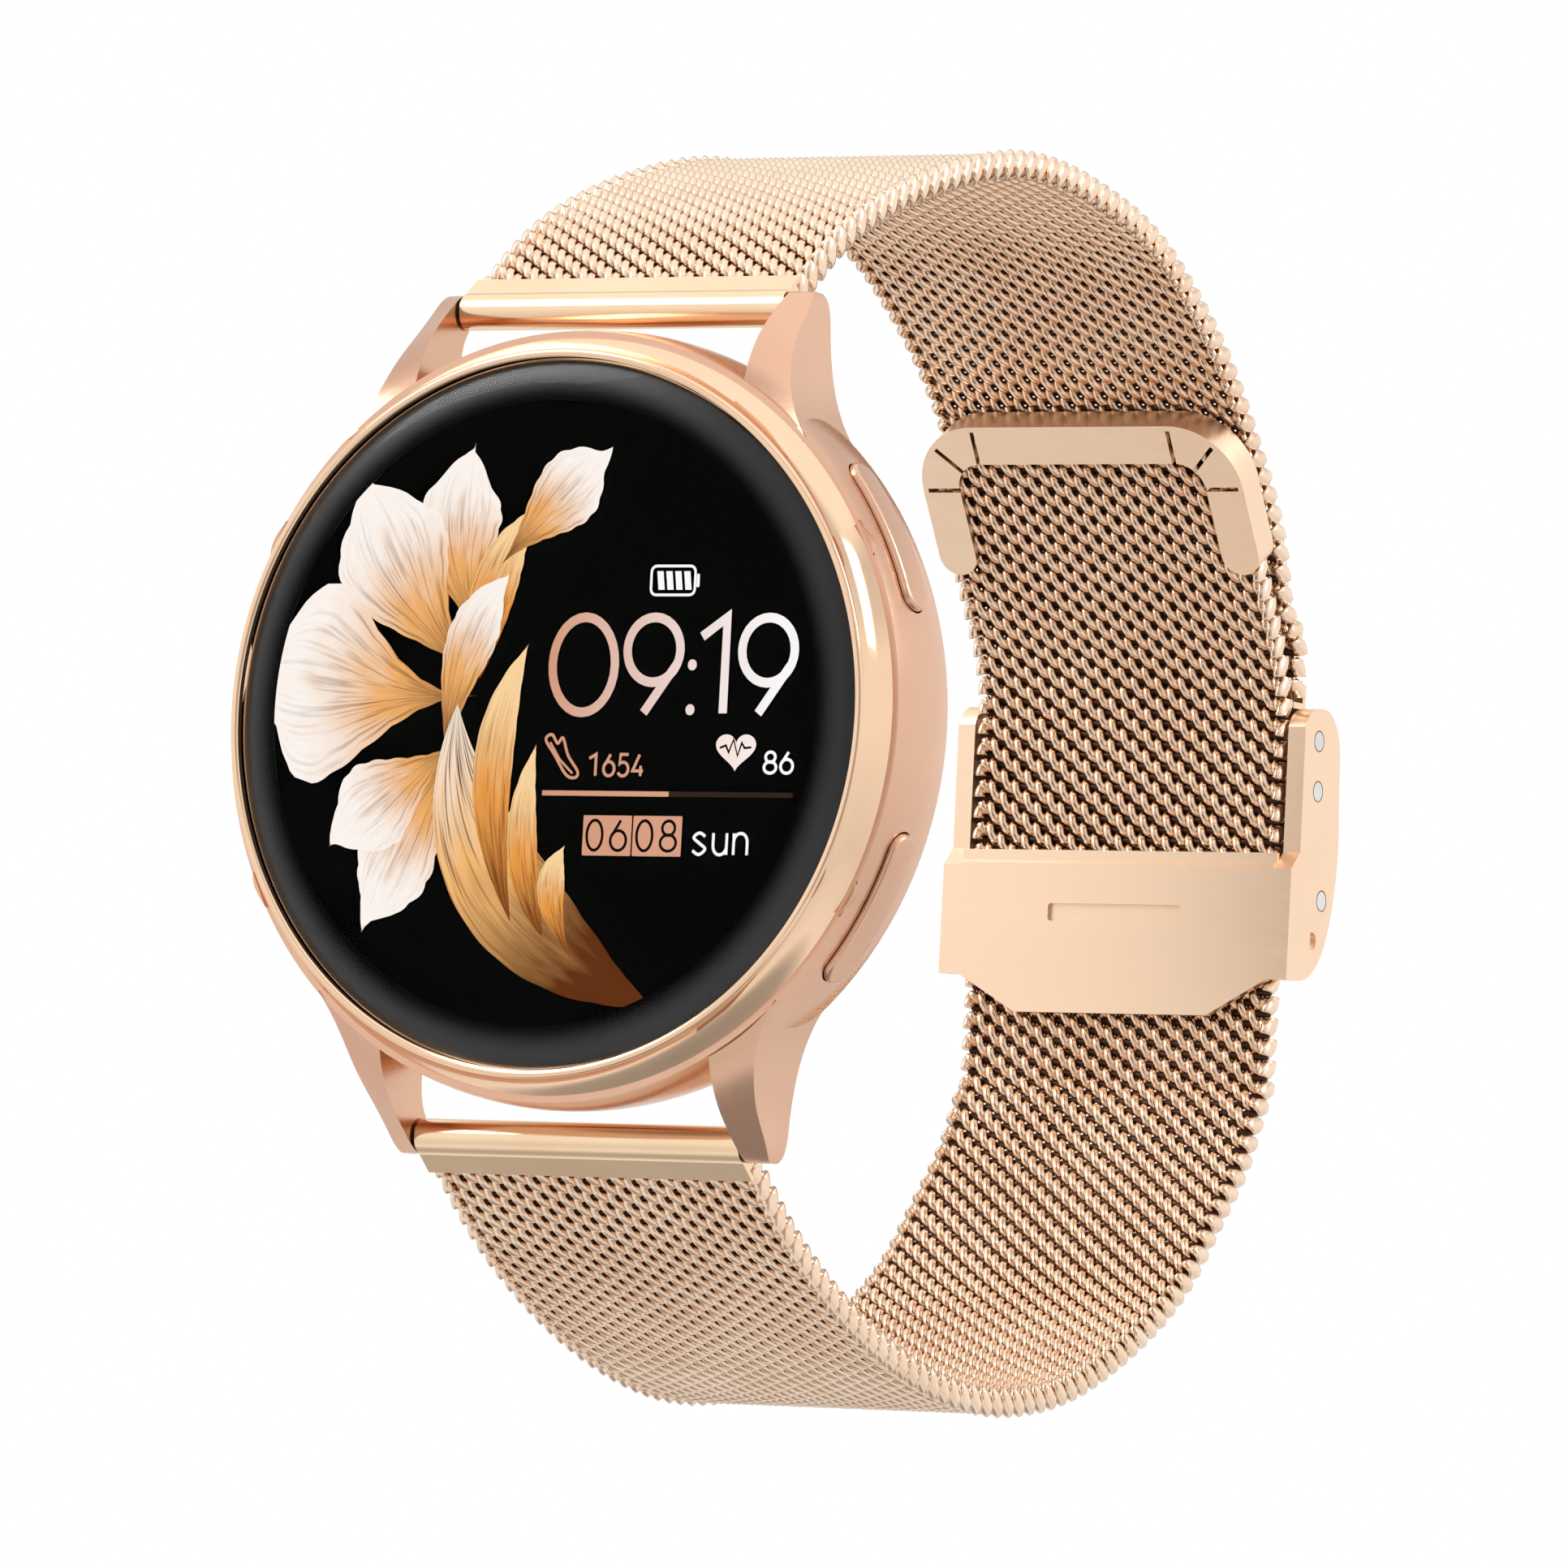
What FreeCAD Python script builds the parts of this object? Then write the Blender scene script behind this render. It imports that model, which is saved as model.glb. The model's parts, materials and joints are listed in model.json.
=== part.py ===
import FreeCAD, Part
import math
import os

os.makedirs("parts", exist_ok=True)
V = FreeCAD.Vector

# Smartwatch on a metal mesh strap, closed as a wrist loop.
# Millimetres. The dial faces -Y, 12 o'clock is +Z and the buttons are on +X.
# The origin is the centre of the flat window in the case back (y = 0).

# ---- driving dimensions: case ----
CASE_R = 22.8            # widest radius, half way along the side
FRONT_R = 22.5           # radius at the front edge of the side wall
REAR_R = 22.4            # radius at the rear edge of the side wall
RIM = 0.4                # flat rim of the case seen outside the bezel
FRONT_Y, REAR_Y = -8.6, -2.6
CAVITY_R = 19.9
SEAT_Y = -2.1            # seat of the case back gasket
RECESS_R = 20.75         # recess that takes the case back
GLASS_R = 20.7
GLASS_EDGE_Y = -10.6
GLASS_T = 1.0
DOME = 0.7               # how far the glass domes out
CREST = 0.17             # how far the bezel's crest stands in front of the glass edge
LEDGE_R = 19.4           # inner radius of the ledge under the glass
SENSOR_R = 19.2
FILM_T = 0.15            # touch sensor and adhesive
PANEL_BACK = -8.4
BACK_R = 20.65
BACK_T = 1.1
GASKET_T = 0.2
PLATEAU_R = 13.5
WINDOW_R = 9.0

# ---- driving dimensions: inside the case, as y levels from the front to the rear ----
FRAME_FRONT, FRAME_REAR = -8.25, -7.7
FRAME_R = 19.5
BATTERY_REAR = -4.4
BATTERY_X, BATTERY_Z = 12.0, 9.0     # half sizes
BOARD_FRONT, BOARD_REAR = -4.2, -3.4
BOARD_R = 17.2
SENSOR_BOARD_FRONT, SENSOR_BOARD_REAR = -2.6, -2.2
SWITCH_X = 17.65         # distance of the switch brackets' outer faces from the centre
FLEX_HALF = 2.5
MOTOR_Z, MOTOR_R = -13.9, 4.0
MOTOR_BASE, MOTOR_LID = -7.4, -5.2   # inner faces of the motor's base and can

# ---- driving dimensions: strap, lugs and spring bars ----
STRAP_W = 22.0
STRAP_T = 1.5
LUG_GAP = 22.2           # between the inner faces of two lugs
BAR_Y, BAR_Z = -3.2, 24.4
TUBE_R, TUBE_BORE = 1.12, 0.82
BAR_R, BAR_BORE = 0.78, 0.56
TIP_R = 0.44
LUG_HOLE_R, LUG_HOLE_DEPTH = 0.47, 1.0
LEAVE = 40.0             # angle at which the strap leaves its tube

# ---- driving dimensions: buttons ----
BUTTON_ANGLE = 28.5
BUTTON_LEN, BUTTON_W = 9.7, 2.3
BUTTON_Y = -6.0
BUTTON_GAP = 0.08
BUTTON_PROUD = 0.4       # how far a button stands out of the case's side
CAP_BACK = 21.35         # distance of the cap's flat back from the centre

# ---- driving dimensions: clasp ----
CHEEK_IN, CHEEK_OUT = 11.2, 12.4
PIN_R = 0.42
HOOK_BAR = (63.55, 5.35)
GUIDE_BAR = (63.7, 2.2)
FLAP_PIN = (64.9, -4.6)
PLATE_Y = (60.6, 61.2)
STRAIGHT_Y = 62.1        # middle of the straight stretch that the clasp grips
FLAP_R = 1.2
CAM_R = 1.95
FLAP_HALF, LOBE_HALF = 10.9, 9.5
SHEET = 0.4


# ---- helpers ----
def turned(points):
    """Solid of revolution about Y from a closed (radius, y) polygon."""
    wire = Part.makePolygon([V(r, y, 0) for r, y in points] + [V(points[0][0], points[0][1], 0)])
    return Part.Face(wire).revolve(V(0, 0, 0), V(0, 1, 0), 360)


def disc(r, y0, y1, x=0.0, z=0.0):
    return Part.makeCylinder(r, y1 - y0, V(x, y0, z), V(0, 1, 0))


def ring(r_out, r_in, y0, y1, x=0.0, z=0.0):
    return disc(r_out, y0, y1, x, z).cut(disc(r_in, y0, y1, x, z))


def rod(r, x0, x1, y, z):
    return Part.makeCylinder(r, x1 - x0, V(x0, y, z), V(1, 0, 0))


def box(x0, x1, y0, y1, z0, z1):
    return Part.makeBox(x1 - x0, y1 - y0, z1 - z0, V(x0, y0, z0))


def slab(points, x0, x1):
    """Prism along X from a closed (y, z) polygon."""
    wire = Part.makePolygon([V(x0, y, z) for y, z in points] + [V(x0, points[0][0], points[0][1])])
    return Part.Face(wire).extrude(V(x1 - x0, 0, 0))


def both_ways(shape):
    """The shape and its mirror image in Z, as a list."""
    return [shape, shape.mirror(V(0, 0, 0), V(0, 0, 1))]


def swung(shape, degrees):
    """The shape turned about the watch's axis, from +X towards +Z."""
    result = shape.copy()
    result.rotate(V(0, 0, 0), V(0, 1, 0), -degrees)
    return result


def direction(degrees):
    """Unit vector in the YZ plane, turned from +Y towards +Z."""
    return V(0, math.cos(math.radians(degrees)), math.sin(math.radians(degrees)))


def arc_about(y, z, radius, start, end):
    """Arc in the YZ plane about (y, z), between two angles of direction()."""
    points = [V(0, y, z) + direction(angle) * radius for angle in (start, (start + end) / 2, end)]
    return Part.Arc(*points).toShape()


def smooth_curve(points, start_tangent, end_tangent):
    curve = Part.BSplineCurve()
    curve.interpolate(Points=points, InitialTangent=start_tangent, FinalTangent=end_tangent)
    return curve


def fused(shapes):
    return shapes[0].multiFuse(shapes[1:]).removeSplitter()


def save(name, shape):
    solids = shape.Solids
    volume = sum(s.Volume for s in solids)
    print(f"{name:24s} solids {len(solids):2d}  volume {volume:9.2f}  valid {shape.isValid()}")
    whole = solids[0] if len(solids) == 1 else Part.makeCompound(solids)
    whole.exportStep(f"parts/{name}.step")


# ---- case body: ring with four lugs ----
# One section across a lug per row: z, front inner y, outer ridge x and y, rear outer x and y, rear inner y
LUG_SECTIONS = [
    (9.0, -8.7, 20.3, -8.7, 20.3, -3.0, -3.0),
    (11.5, -8.7, 19.2, -8.85, 19.2, -3.0, -3.0),
    (14.0, -8.7, 17.2, -9.0, 17.2, -3.0, -3.0),
    (17.2, -8.7, 14.8, -8.5, 14.6, -2.4, -3.2),
    (19.5, -8.5, 13.8, -7.8, 13.5, -2.0, -3.5),
    (20.9, -8.0, 13.4, -7.1, 13.1, -1.8, -3.55),
    (22.7, -6.8, 12.95, -5.7, 12.75, -1.55, -3.2),
    (24.2, -5.2, 12.75, -4.3, 12.6, -1.5, -2.2),
    (25.0, -4.2, 12.6, -3.6, 12.5, -1.75, -2.1),
    (25.35, -3.5, 12.45, -3.1, 12.4, -2.2, -2.3),
]


def lug():
    half = LUG_GAP / 2
    wires = []
    for z, front, ridge_x, ridge_y, rear_x, rear_y, inner in LUG_SECTIONS:
        corners = [V(half, front, z), V(ridge_x, ridge_y, z), V(rear_x, rear_y, z), V(half, inner, z)]
        wires.append(Part.makePolygon(corners + corners[:1]))
    return Part.makeLoft(wires, True, False)


def outer_side(extra=0.0):
    """Solid disc with the case's curved side, grown by extra."""
    front = V(FRONT_R + extra, FRONT_Y, 0)
    rear = V(REAR_R + extra, REAR_Y, 0)
    side = Part.Arc(front, V(CASE_R + extra, (FRONT_Y + REAR_Y) / 2, 0), rear).toShape()
    lip = V(21.5 + extra, -1.3, 0)
    rest = Part.makePolygon([rear, lip, V(0, -1.3, 0), V(0, FRONT_Y, 0), front])
    return Part.Face(Part.Wire([side] + rest.Edges)).revolve(V(0, 0, 0), V(0, 1, 0), 360)


def pill(length, width, x0, x1):
    """Round-ended bar standing on the case side at +X, long along Z."""
    half = (length - width) / 2
    middle = box(x0, x1, BUTTON_Y - width / 2, BUTTON_Y + width / 2, -half, half)
    ends = [rod(width / 2, x0, x1, BUTTON_Y, s * half) for s in (-1, 1)]
    return fused([middle] + ends)


SCREW_RING = 18.6
BOSS_R = 1.4
SCREW_ANGLES = (45, 135, 225, 315)
SCREW_R, SCREW_HEAD_R, SOCKET_R = 0.46, 0.95, 0.45
SCREW_SEAT = -1.35
STEM_R = 0.7
SEAL_R = 1.15


def case_body():
    one = lug()
    lugs = both_ways(one) + both_ways(one.mirror(V(0, 0, 0), V(1, 0, 0)))
    body = fused([outer_side()] + lugs)
    body = body.cut(disc(FRONT_R - 0.1, -13, FRONT_Y))
    body = body.cut(disc(CAVITY_R, FRONT_Y - 1, 0))
    body = body.cut(disc(RECESS_R, SEAT_Y, 1))
    for angle in SCREW_ANGLES:
        boss = swung(disc(BOSS_R, -6.5, SEAT_Y, SCREW_RING), angle)
        body = body.fuse(boss)
    for angle in SCREW_ANGLES:
        body = body.cut(swung(disc(0.5, -4.7, SEAT_Y, SCREW_RING), angle))
    for side in (-1, 1):
        pocket = pill(BUTTON_LEN + 2 * BUTTON_GAP, BUTTON_W + 2 * BUTTON_GAP, CAP_BACK - 0.5, 25)
        hole = rod(STEM_R + 0.05, 19, 22, BUTTON_Y, 0)
        counterbore = rod(SEAL_R + 0.02, 19, 20.5, BUTTON_Y, 0)
        for tool in (pocket, hole, counterbore):
            body = body.cut(swung(tool, side * BUTTON_ANGLE))
        for end in (-1, 1):
            low, high = sorted((end * (LUG_GAP / 2 - 0.1), end * (LUG_GAP / 2 + LUG_HOLE_DEPTH)))
            body = body.cut(rod(LUG_HOLE_R, low, high, BAR_Y, side * BAR_Z))
    return body.removeSplitter()


# ---- bezel, glass and display stack ----
def bezel_ring():
    """Ring that holds the glass: a narrow round crest, then a hollow slope down to the case's rim."""
    ledge_y = GLASS_EDGE_Y + GLASS_T + FILM_T
    inner = V(GLASS_R + 0.05, GLASS_EDGE_Y - 0.02, 0)
    crest = V(GLASS_R + 0.55, GLASS_EDGE_Y - 0.02, 0)
    foot = V(FRONT_R - RIM, FRONT_Y, 0)
    top = Part.Arc(inner, V(GLASS_R + 0.3, GLASS_EDGE_Y - CREST, 0), crest).toShape()
    slope = Part.Arc(crest, V(GLASS_R + 0.76, GLASS_EDGE_Y + 1.05, 0), foot).toShape()
    inside = Part.makePolygon([foot, V(LEDGE_R, FRONT_Y, 0), V(LEDGE_R, ledge_y, 0),
                               V(inner.x, ledge_y, 0), inner])
    outline = Part.Wire([top, slope] + inside.Edges)
    return Part.Face(outline).revolve(V(0, 0, 0), V(0, 1, 0), 360)


def cover_glass():
    """Flat-backed glass with a shallow spherical dome."""
    dome_r = (GLASS_R ** 2 + DOME ** 2) / (2 * DOME)
    sphere = Part.makeSphere(dome_r, V(0, GLASS_EDGE_Y - DOME + dome_r, 0))
    return disc(GLASS_R, GLASS_EDGE_Y - DOME - 1, GLASS_EDGE_Y + GLASS_T).common(sphere)


def display_flex():
    """Ribbon from the back of the display round the frame to the main board."""
    outside = [(-8.4, 15.0), (-8.4, 17.1), (-8.25, 17.1), (-8.25, 15.0)]
    fold = [(-8.4, 17.1), (-8.4, 18.35), (-4.05, 18.35), (-4.05, 17.22), (-4.2, 17.22), (-4.2, 18.2),
            (-8.25, 18.2), (-8.25, 17.1)]
    tail = [(-4.35, 16.0), (-4.35, 17.37), (-4.2, 17.37), (-4.2, 16.0)]
    return fused([slab(outline, -FLEX_HALF, FLEX_HALF) for outline in (outside, fold, tail)])


def mid_frame():
    """Tray that carries the display, the battery and the two switch brackets."""
    gap = FLEX_HALF + 0.7
    plate = disc(FRAME_R, FRAME_FRONT, FRAME_REAR).cut(box(-gap, gap, -9, -7, 17.3, 20))
    plate = plate.cut(box(-gap, gap, FRAME_FRONT - 1, FRAME_FRONT + 0.2, 14.5, 20))
    front = FRAME_REAR - 0.1
    bracket = box(SWITCH_X - 0.75, SWITCH_X, front, BUTTON_Y + 1.1, -1.6, 1.6)
    brackets = [swung(bracket, side * BUTTON_ANGLE) for side in (-1, 1)]
    fences = both_ways(box(-BATTERY_X - 1, BATTERY_X + 1, front, -6.4, BATTERY_Z + 0.1, BATTERY_Z + 0.6))
    return fused([plate] + fences + brackets)


# ---- electronics ----
def battery():
    cell = box(-BATTERY_X, BATTERY_X, FRAME_REAR, BATTERY_REAR, -BATTERY_Z, BATTERY_Z)
    return cell.makeFillet(1.0, [e for e in cell.Edges if abs(e.Vertexes[0].Y - e.Vertexes[1].Y) > 1])


def main_board():
    """Round board with three fixing holes and a notch for cables."""
    board = disc(BOARD_R, BOARD_FRONT, BOARD_REAR)
    for angle in (60, 180, 300):
        board = board.cut(swung(disc(0.8, -5, -3, BOARD_R - 1.4), angle))
    return board.cut(box(-3, 3, -5, -3, -BOARD_R - 1, -BOARD_R + 1.7))


def board_chips():
    """Processor, memory, radio and power parts on the rear of the main board."""
    chips = [(-6, -5, 7, 7), (4, -6, 5, 5), (5, 4, 6, 4), (-7, 6, 4, 4), (0, 11, 5, 3)]
    return Part.makeCompound([box(x, x + w, BOARD_REAR, BOARD_REAR + 0.65, z, z + h) for x, z, w, h in chips])


def motor_disc(r, y0, y1):
    return disc(r, y0, y1, 0, MOTOR_Z)


def vibration_motor_base():
    return fused([motor_disc(MOTOR_R, FRAME_REAR, MOTOR_BASE), motor_disc(0.35, MOTOR_BASE - 0.1, MOTOR_LID)])


def vibration_motor_can():
    can = motor_disc(MOTOR_R, MOTOR_BASE, MOTOR_LID + 0.2)
    return can.cut(motor_disc(MOTOR_R - 0.25, MOTOR_BASE - 0.1, MOTOR_LID))


def motor_rotor():
    """Half-round weight on a hub, which turns off balance to shake the case."""
    front, rear = MOTOR_BASE + 0.3, MOTOR_LID - 0.3
    empty_half = box(-MOTOR_R, MOTOR_R, -8, -5, MOTOR_Z, MOTOR_Z + MOTOR_R)
    sector = motor_disc(MOTOR_R - 0.6, front, rear).cut(empty_half)
    weight = sector.fuse(motor_disc(1.0, front, rear))
    return weight.cut(motor_disc(0.39, -8, -5)).removeSplitter()


def sensor_leds():
    """Two light sources and four light detectors behind the window."""
    front, rear = SENSOR_BOARD_REAR, SENSOR_BOARD_REAR + 0.55
    lights = [box(x, x + 1.6, front, rear, -0.8, 0.8) for x in (-2.0, 0.4)]
    cells = [swung(box(4.2, 6.4, front, rear, -1.3, 1.3), angle) for angle in (0, 90, 180, 270)]
    return Part.makeCompound(lights + cells)


CONTACT_Z, CONTACT_R = -11.3, 0.7
CONTACT_X = (-3.81, -1.27, 1.27, 3.81)


def case_back():
    """Cover with a raised plateau that holds the sensor window and the charging contacts."""
    lip = -0.1
    front = SEAT_Y + GASKET_T
    rear = front + BACK_T
    plate = turned([(0, front), (BACK_R, front), (BACK_R, rear - 0.3), (BACK_R - 0.3, rear),
                    (PLATEAU_R + 0.8, rear), (PLATEAU_R, lip), (0, lip)])
    plate = plate.cut(disc(WINDOW_R + 0.05, -1.5, 1)).cut(disc(WINDOW_R - 0.6, -3, 1))
    for angle in SCREW_ANGLES:
        plate = plate.cut(swung(disc(SCREW_HEAD_R + 0.05, SCREW_SEAT, 1, SCREW_RING), angle))
        plate = plate.cut(swung(disc(SCREW_R + 0.14, -3, 1, SCREW_RING), angle))
    for x in CONTACT_X:
        plate = plate.cut(disc(CONTACT_R + 0.04, -3, 1, x, CONTACT_Z))
    return plate


def case_back_screws():
    """Four screws with hexagon sockets."""
    head = disc(SCREW_HEAD_R, SCREW_SEAT, SCREW_SEAT + 0.5, SCREW_RING)
    one = head.fuse(disc(SCREW_R, -4.4, SCREW_SEAT + 0.05, SCREW_RING))
    turns = [math.radians(angle) for angle in range(0, 361, 60)]
    hexagon = [V(SOCKET_R * math.cos(turn), SCREW_SEAT + 0.55, SOCKET_R * math.sin(turn)) for turn in turns]
    socket = Part.Face(Part.makePolygon(hexagon)).extrude(V(0, -0.3, 0))
    socket.translate(V(SCREW_RING, 0, 0))
    one = one.cut(socket).removeSplitter()
    return Part.makeCompound([swung(one, angle) for angle in SCREW_ANGLES])


def sensor_window():
    return turned([(0, -1.5), (WINDOW_R, -1.5), (WINDOW_R, -0.15), (WINDOW_R - 0.15, 0), (0, 0)])


# ---- buttons ----
def button():
    """Pill-shaped cap that follows the case's side, with rounded edges, on a stem with a retaining clip."""
    cap = outer_side(BUTTON_PROUD).common(pill(BUTTON_LEN, BUTTON_W, CAP_BACK, 25))
    far = [f for f in cap.Faces if f.CenterOfMass.x > CASE_R - 0.5]
    cap = cap.makeFillet(0.25, [e for f in far for e in f.Edges])
    stem = rod(STEM_R, 18.95, CAP_BACK + 0.2, BUTTON_Y, 0)
    clip = rod(1.1, 19.2, 19.45, BUTTON_Y, 0)
    return fused([cap, stem, clip])


def button_seal():
    return rod(SEAL_R, 19.95, 20.5, BUTTON_Y, 0).cut(rod(STEM_R + 0.02, 19, 21, BUTTON_Y, 0))


def button_switch():
    """Low box on its bracket, with a round plunger towards the button."""
    front = SWITCH_X + 0.6
    body = box(SWITCH_X, front, BUTTON_Y - 0.9, BUTTON_Y + 0.9, -1.5, 1.5)
    return fused([body, rod(0.6, front - 0.05, front + 0.25, BUTTON_Y, 0)])


# ---- spring bars ----
CORE_X = 5.5             # half length of the bar's solid middle
CRIMP_X = 10.1           # where the bar's crimped ends begin
BAR_HALF = 10.6
HEAD_X = 9.1             # inner end of a tip
COIL_WIRE = 0.09


def spring_bar():
    bar = rod(BAR_R, -BAR_HALF, BAR_HALF, BAR_Y, BAR_Z)
    for low, high in ((CORE_X, CRIMP_X), (-CRIMP_X, -CORE_X)):
        bar = bar.cut(rod(BAR_BORE, low, high, BAR_Y, BAR_Z))
    for low, high in ((CRIMP_X, BAR_HALF + 1), (-BAR_HALF - 1, -CRIMP_X)):
        bar = bar.cut(rod(TIP_R + 0.03, low, high, BAR_Y, BAR_Z))
    return bar


def bar_tip():
    """Tip for the +X end, at the upper bar."""
    shank = rod(TIP_R, CRIMP_X - 0.2, LUG_GAP / 2 + LUG_HOLE_DEPTH - 0.1, BAR_Y, BAR_Z)
    head = rod(BAR_BORE - 0.04, HEAD_X, CRIMP_X - 0.02, BAR_Y, BAR_Z)
    return fused([shank, head])


def bar_spring():
    """Coil between the bar's solid middle and the tip's head."""
    start = CORE_X + COIL_WIRE + 0.01
    length = HEAD_X - COIL_WIRE - 0.01 - start
    coil_r = BAR_BORE - COIL_WIRE - 0.05
    helix = Part.makeHelix(length / 6, length, coil_r)
    section = Part.Wire(Part.makeCircle(COIL_WIRE, V(coil_r, 0, 0), V(0, 1, 0)))
    coil = Part.Wire(helix).makePipeShell([section], True, True)
    coil.rotate(V(0, 0, 0), V(0, 1, 0), 90)
    coil.translate(V(start, BAR_Y, BAR_Z))
    return coil


# ---- mesh strap ----
LEAD = 5.0               # straight lead-in from the tube axis
UPPER_ROUTE = [(10.5, 33.0), (18.3, 35.4), (23.75, 36.45), (29.8, 36.55), (36.05, 35.65), (41.15, 34.3),
               (47.2, 31.1), (51.7, 27.75), (56.7, 22.35), (60.45, 16.7), (62.0, 12.8)]
UPPER_END = [(63.55, 9.0), (63.55, 7.8)]
LOWER_ROUTE = [(5.25, -30.9), (15.05, -35.4), (25.6, -37.7), (33.6, -37.4), (39.0, -36.2), (43.45, -34.5),
               (49.55, -31.3), (53.5, -28.2), (56.3, -25.0), (60.0, -20.4), (61.4, -17.6)]
STRAIGHT_LOW, STRAIGHT_HIGH = -15.0, 6.0
FREE_BEND_R = 9.9        # bend from the straight stretch towards the free end
FREE_TILT = 32.7         # lean of the free end, from the vertical
FREE_LEN = 15.2          # straight part of the free end


def normal(vector):
    """Unit vector to the left of the given one, in the YZ plane."""
    unit = V(vector).normalize()
    return V(0, -unit.z, unit.y)


def curve_band(curve, offset, count=30):
    """Curve at a constant offset from the given one."""
    first, last = curve.FirstParameter, curve.LastParameter
    points = []
    for i in range(count + 1):
        u = first + (last - first) * i / count
        points.append(curve.value(u) + normal(curve.tangent(u)[0]) * offset)
    return smooth_curve(points, curve.tangent(first)[0], curve.tangent(last)[0]).toShape()


def band(edges_out, edges_in, half_width):
    """Solid between two chains of edges, extruded to both sides of X = 0."""
    starts = [edges[0].valueAt(edges[0].FirstParameter) for edges in (edges_out, edges_in)]
    ends = [edges[-1].valueAt(edges[-1].LastParameter) for edges in (edges_out, edges_in)]
    chain = edges_out + [Part.makeLine(*ends)] + edges_in + [Part.makeLine(*starts)]
    face = Part.Face(Part.Wire(Part.__sortEdges__(chain)))
    solid = face.extrude(V(2 * half_width, 0, 0))
    solid.translate(V(-half_width, 0, 0))
    return solid


def strap_start(sign, distance):
    """Point on the strap's middle line, a distance from the tube axis."""
    return V(0, BAR_Y, sign * BAR_Z) + direction(sign * LEAVE) * distance


MESH_START = 1.3         # the mesh begins this far from the tube axis


def upper_mesh():
    lead = direction(LEAVE)
    down = V(0, 0, -1)
    route = [strap_start(1, LEAD)] + [V(0, y, z) for y, z in UPPER_ROUTE] + [V(0, *UPPER_END[0])]
    curve = smooth_curve(route, lead, down)
    sides = []
    for offset in (STRAP_T / 2, -STRAP_T / 2):
        lead_side = normal(lead) * offset
        end_side = normal(down) * offset
        first = Part.makeLine(strap_start(1, MESH_START) + lead_side, route[0] + lead_side)
        last = Part.makeLine(route[-1] + end_side, V(0, *UPPER_END[1]) + end_side)
        sides.append([first, curve_band(curve, offset), last])
    return band(sides[0], sides[1], STRAP_W / 2)


def free_end_points():
    """Centre of the free end's bend, and where its straight part starts and ends."""
    centre = V(0, STRAIGHT_Y - FREE_BEND_R, STRAIGHT_HIGH)
    start = centre + direction(FREE_TILT) * FREE_BEND_R
    return centre, start, start + direction(90 + FREE_TILT) * FREE_LEN


def lower_mesh():
    lead = direction(-LEAVE)
    up = V(0, 0, 1)
    centre, start, end = free_end_points()
    route = [strap_start(-1, LEAD)]
    route += [V(0, y, z) for y, z in LOWER_ROUTE + [(STRAIGHT_Y, STRAIGHT_LOW)]]
    curve = smooth_curve(route, lead, up)
    sides = []
    for offset in (STRAP_T / 2, -STRAP_T / 2):
        side = normal(up) * offset
        lead_side = normal(lead) * offset
        first = Part.makeLine(strap_start(-1, MESH_START) + lead_side, route[0] + lead_side)
        straight = Part.makeLine(route[-1] + side, V(0, STRAIGHT_Y, STRAIGHT_HIGH) + side)
        bend = arc_about(centre.y, centre.z, FREE_BEND_R - offset, 0, FREE_TILT)
        tilt_side = normal(direction(90 + FREE_TILT)) * offset
        last = Part.makeLine(start + tilt_side, end + tilt_side)
        sides.append([first, curve_band(curve, offset), straight, bend, last])
    return band(sides[0], sides[1], STRAP_W / 2)


# ---- strap ends ----
FLANGE_END = 1.9         # distance of the flange's end from the tube axis
FLANGE_T = 2.1
TUBE_HALF = 10.95


def strap_tube():
    """Upper tube with the slotted flange that takes the end of the mesh."""
    lead = direction(LEAVE)
    side = normal(lead)
    axis = V(0, BAR_Y, BAR_Z)
    corners = []
    for distance, offset in ((0, 1), (FLANGE_END, 1), (FLANGE_END, -1), (0, -1)):
        point = axis + lead * distance + side * (offset * FLANGE_T / 2)
        corners.append((point.y, point.z))
    flange = slab(corners, -TUBE_HALF, TUBE_HALF)
    tube = fused([flange, rod(TUBE_R, -TUBE_HALF, TUBE_HALF, BAR_Y, BAR_Z)])
    slot = []
    for distance, offset in ((MESH_START, 1), (LEAD, 1), (LEAD, -1), (MESH_START, -1)):
        point = axis + lead * distance + side * (offset * STRAP_T / 2)
        slot.append((point.y, point.z))
    tube = tube.cut(slab(slot, -12, 12))
    return tube.cut(rod(TUBE_BORE, -12, 12, BAR_Y, BAR_Z)).removeSplitter()


HOOK_IN = PIN_R + 0.28
HOOK_WRAP = 38.0         # degrees that the hook curls under the bar
HOOK_HALF = 10.7


def upper_strap_hook():
    """Plate on the outer side of the mesh end, curled under the hook bar."""
    y0, z0 = HOOK_BAR
    end_y, end_z = UPPER_END[1]
    outer = HOOK_IN + SHEET
    face_y = end_y + STRAP_T / 2
    inner_arc = arc_about(y0, z0, HOOK_IN, 0, -HOOK_WRAP)
    outer_arc = arc_about(y0, z0, outer, 0, -HOOK_WRAP)
    tip = Part.makeLine(*[arc.valueAt(arc.LastParameter) for arc in (inner_arc, outer_arc)])
    rim = [(y0 + HOOK_IN, z0), (y0 + HOOK_IN, end_z - SHEET), (end_y - 0.5, end_z - SHEET),
           (end_y - 0.5, end_z), (face_y, end_z), (face_y, UPPER_END[0][1]),
           (face_y + SHEET, UPPER_END[0][1]), (face_y + SHEET, z0 + 0.8), (y0 + outer, z0)]
    rim_wire = Part.makePolygon([V(0, y, z) for y, z in rim])
    face = Part.Face(Part.Wire(Part.__sortEdges__([inner_arc, tip, outer_arc] + rim_wire.Edges)))
    hook = face.extrude(V(2 * HOOK_HALF, 0, 0))
    hook.translate(V(-HOOK_HALF, 0, 0))
    return hook


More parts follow.
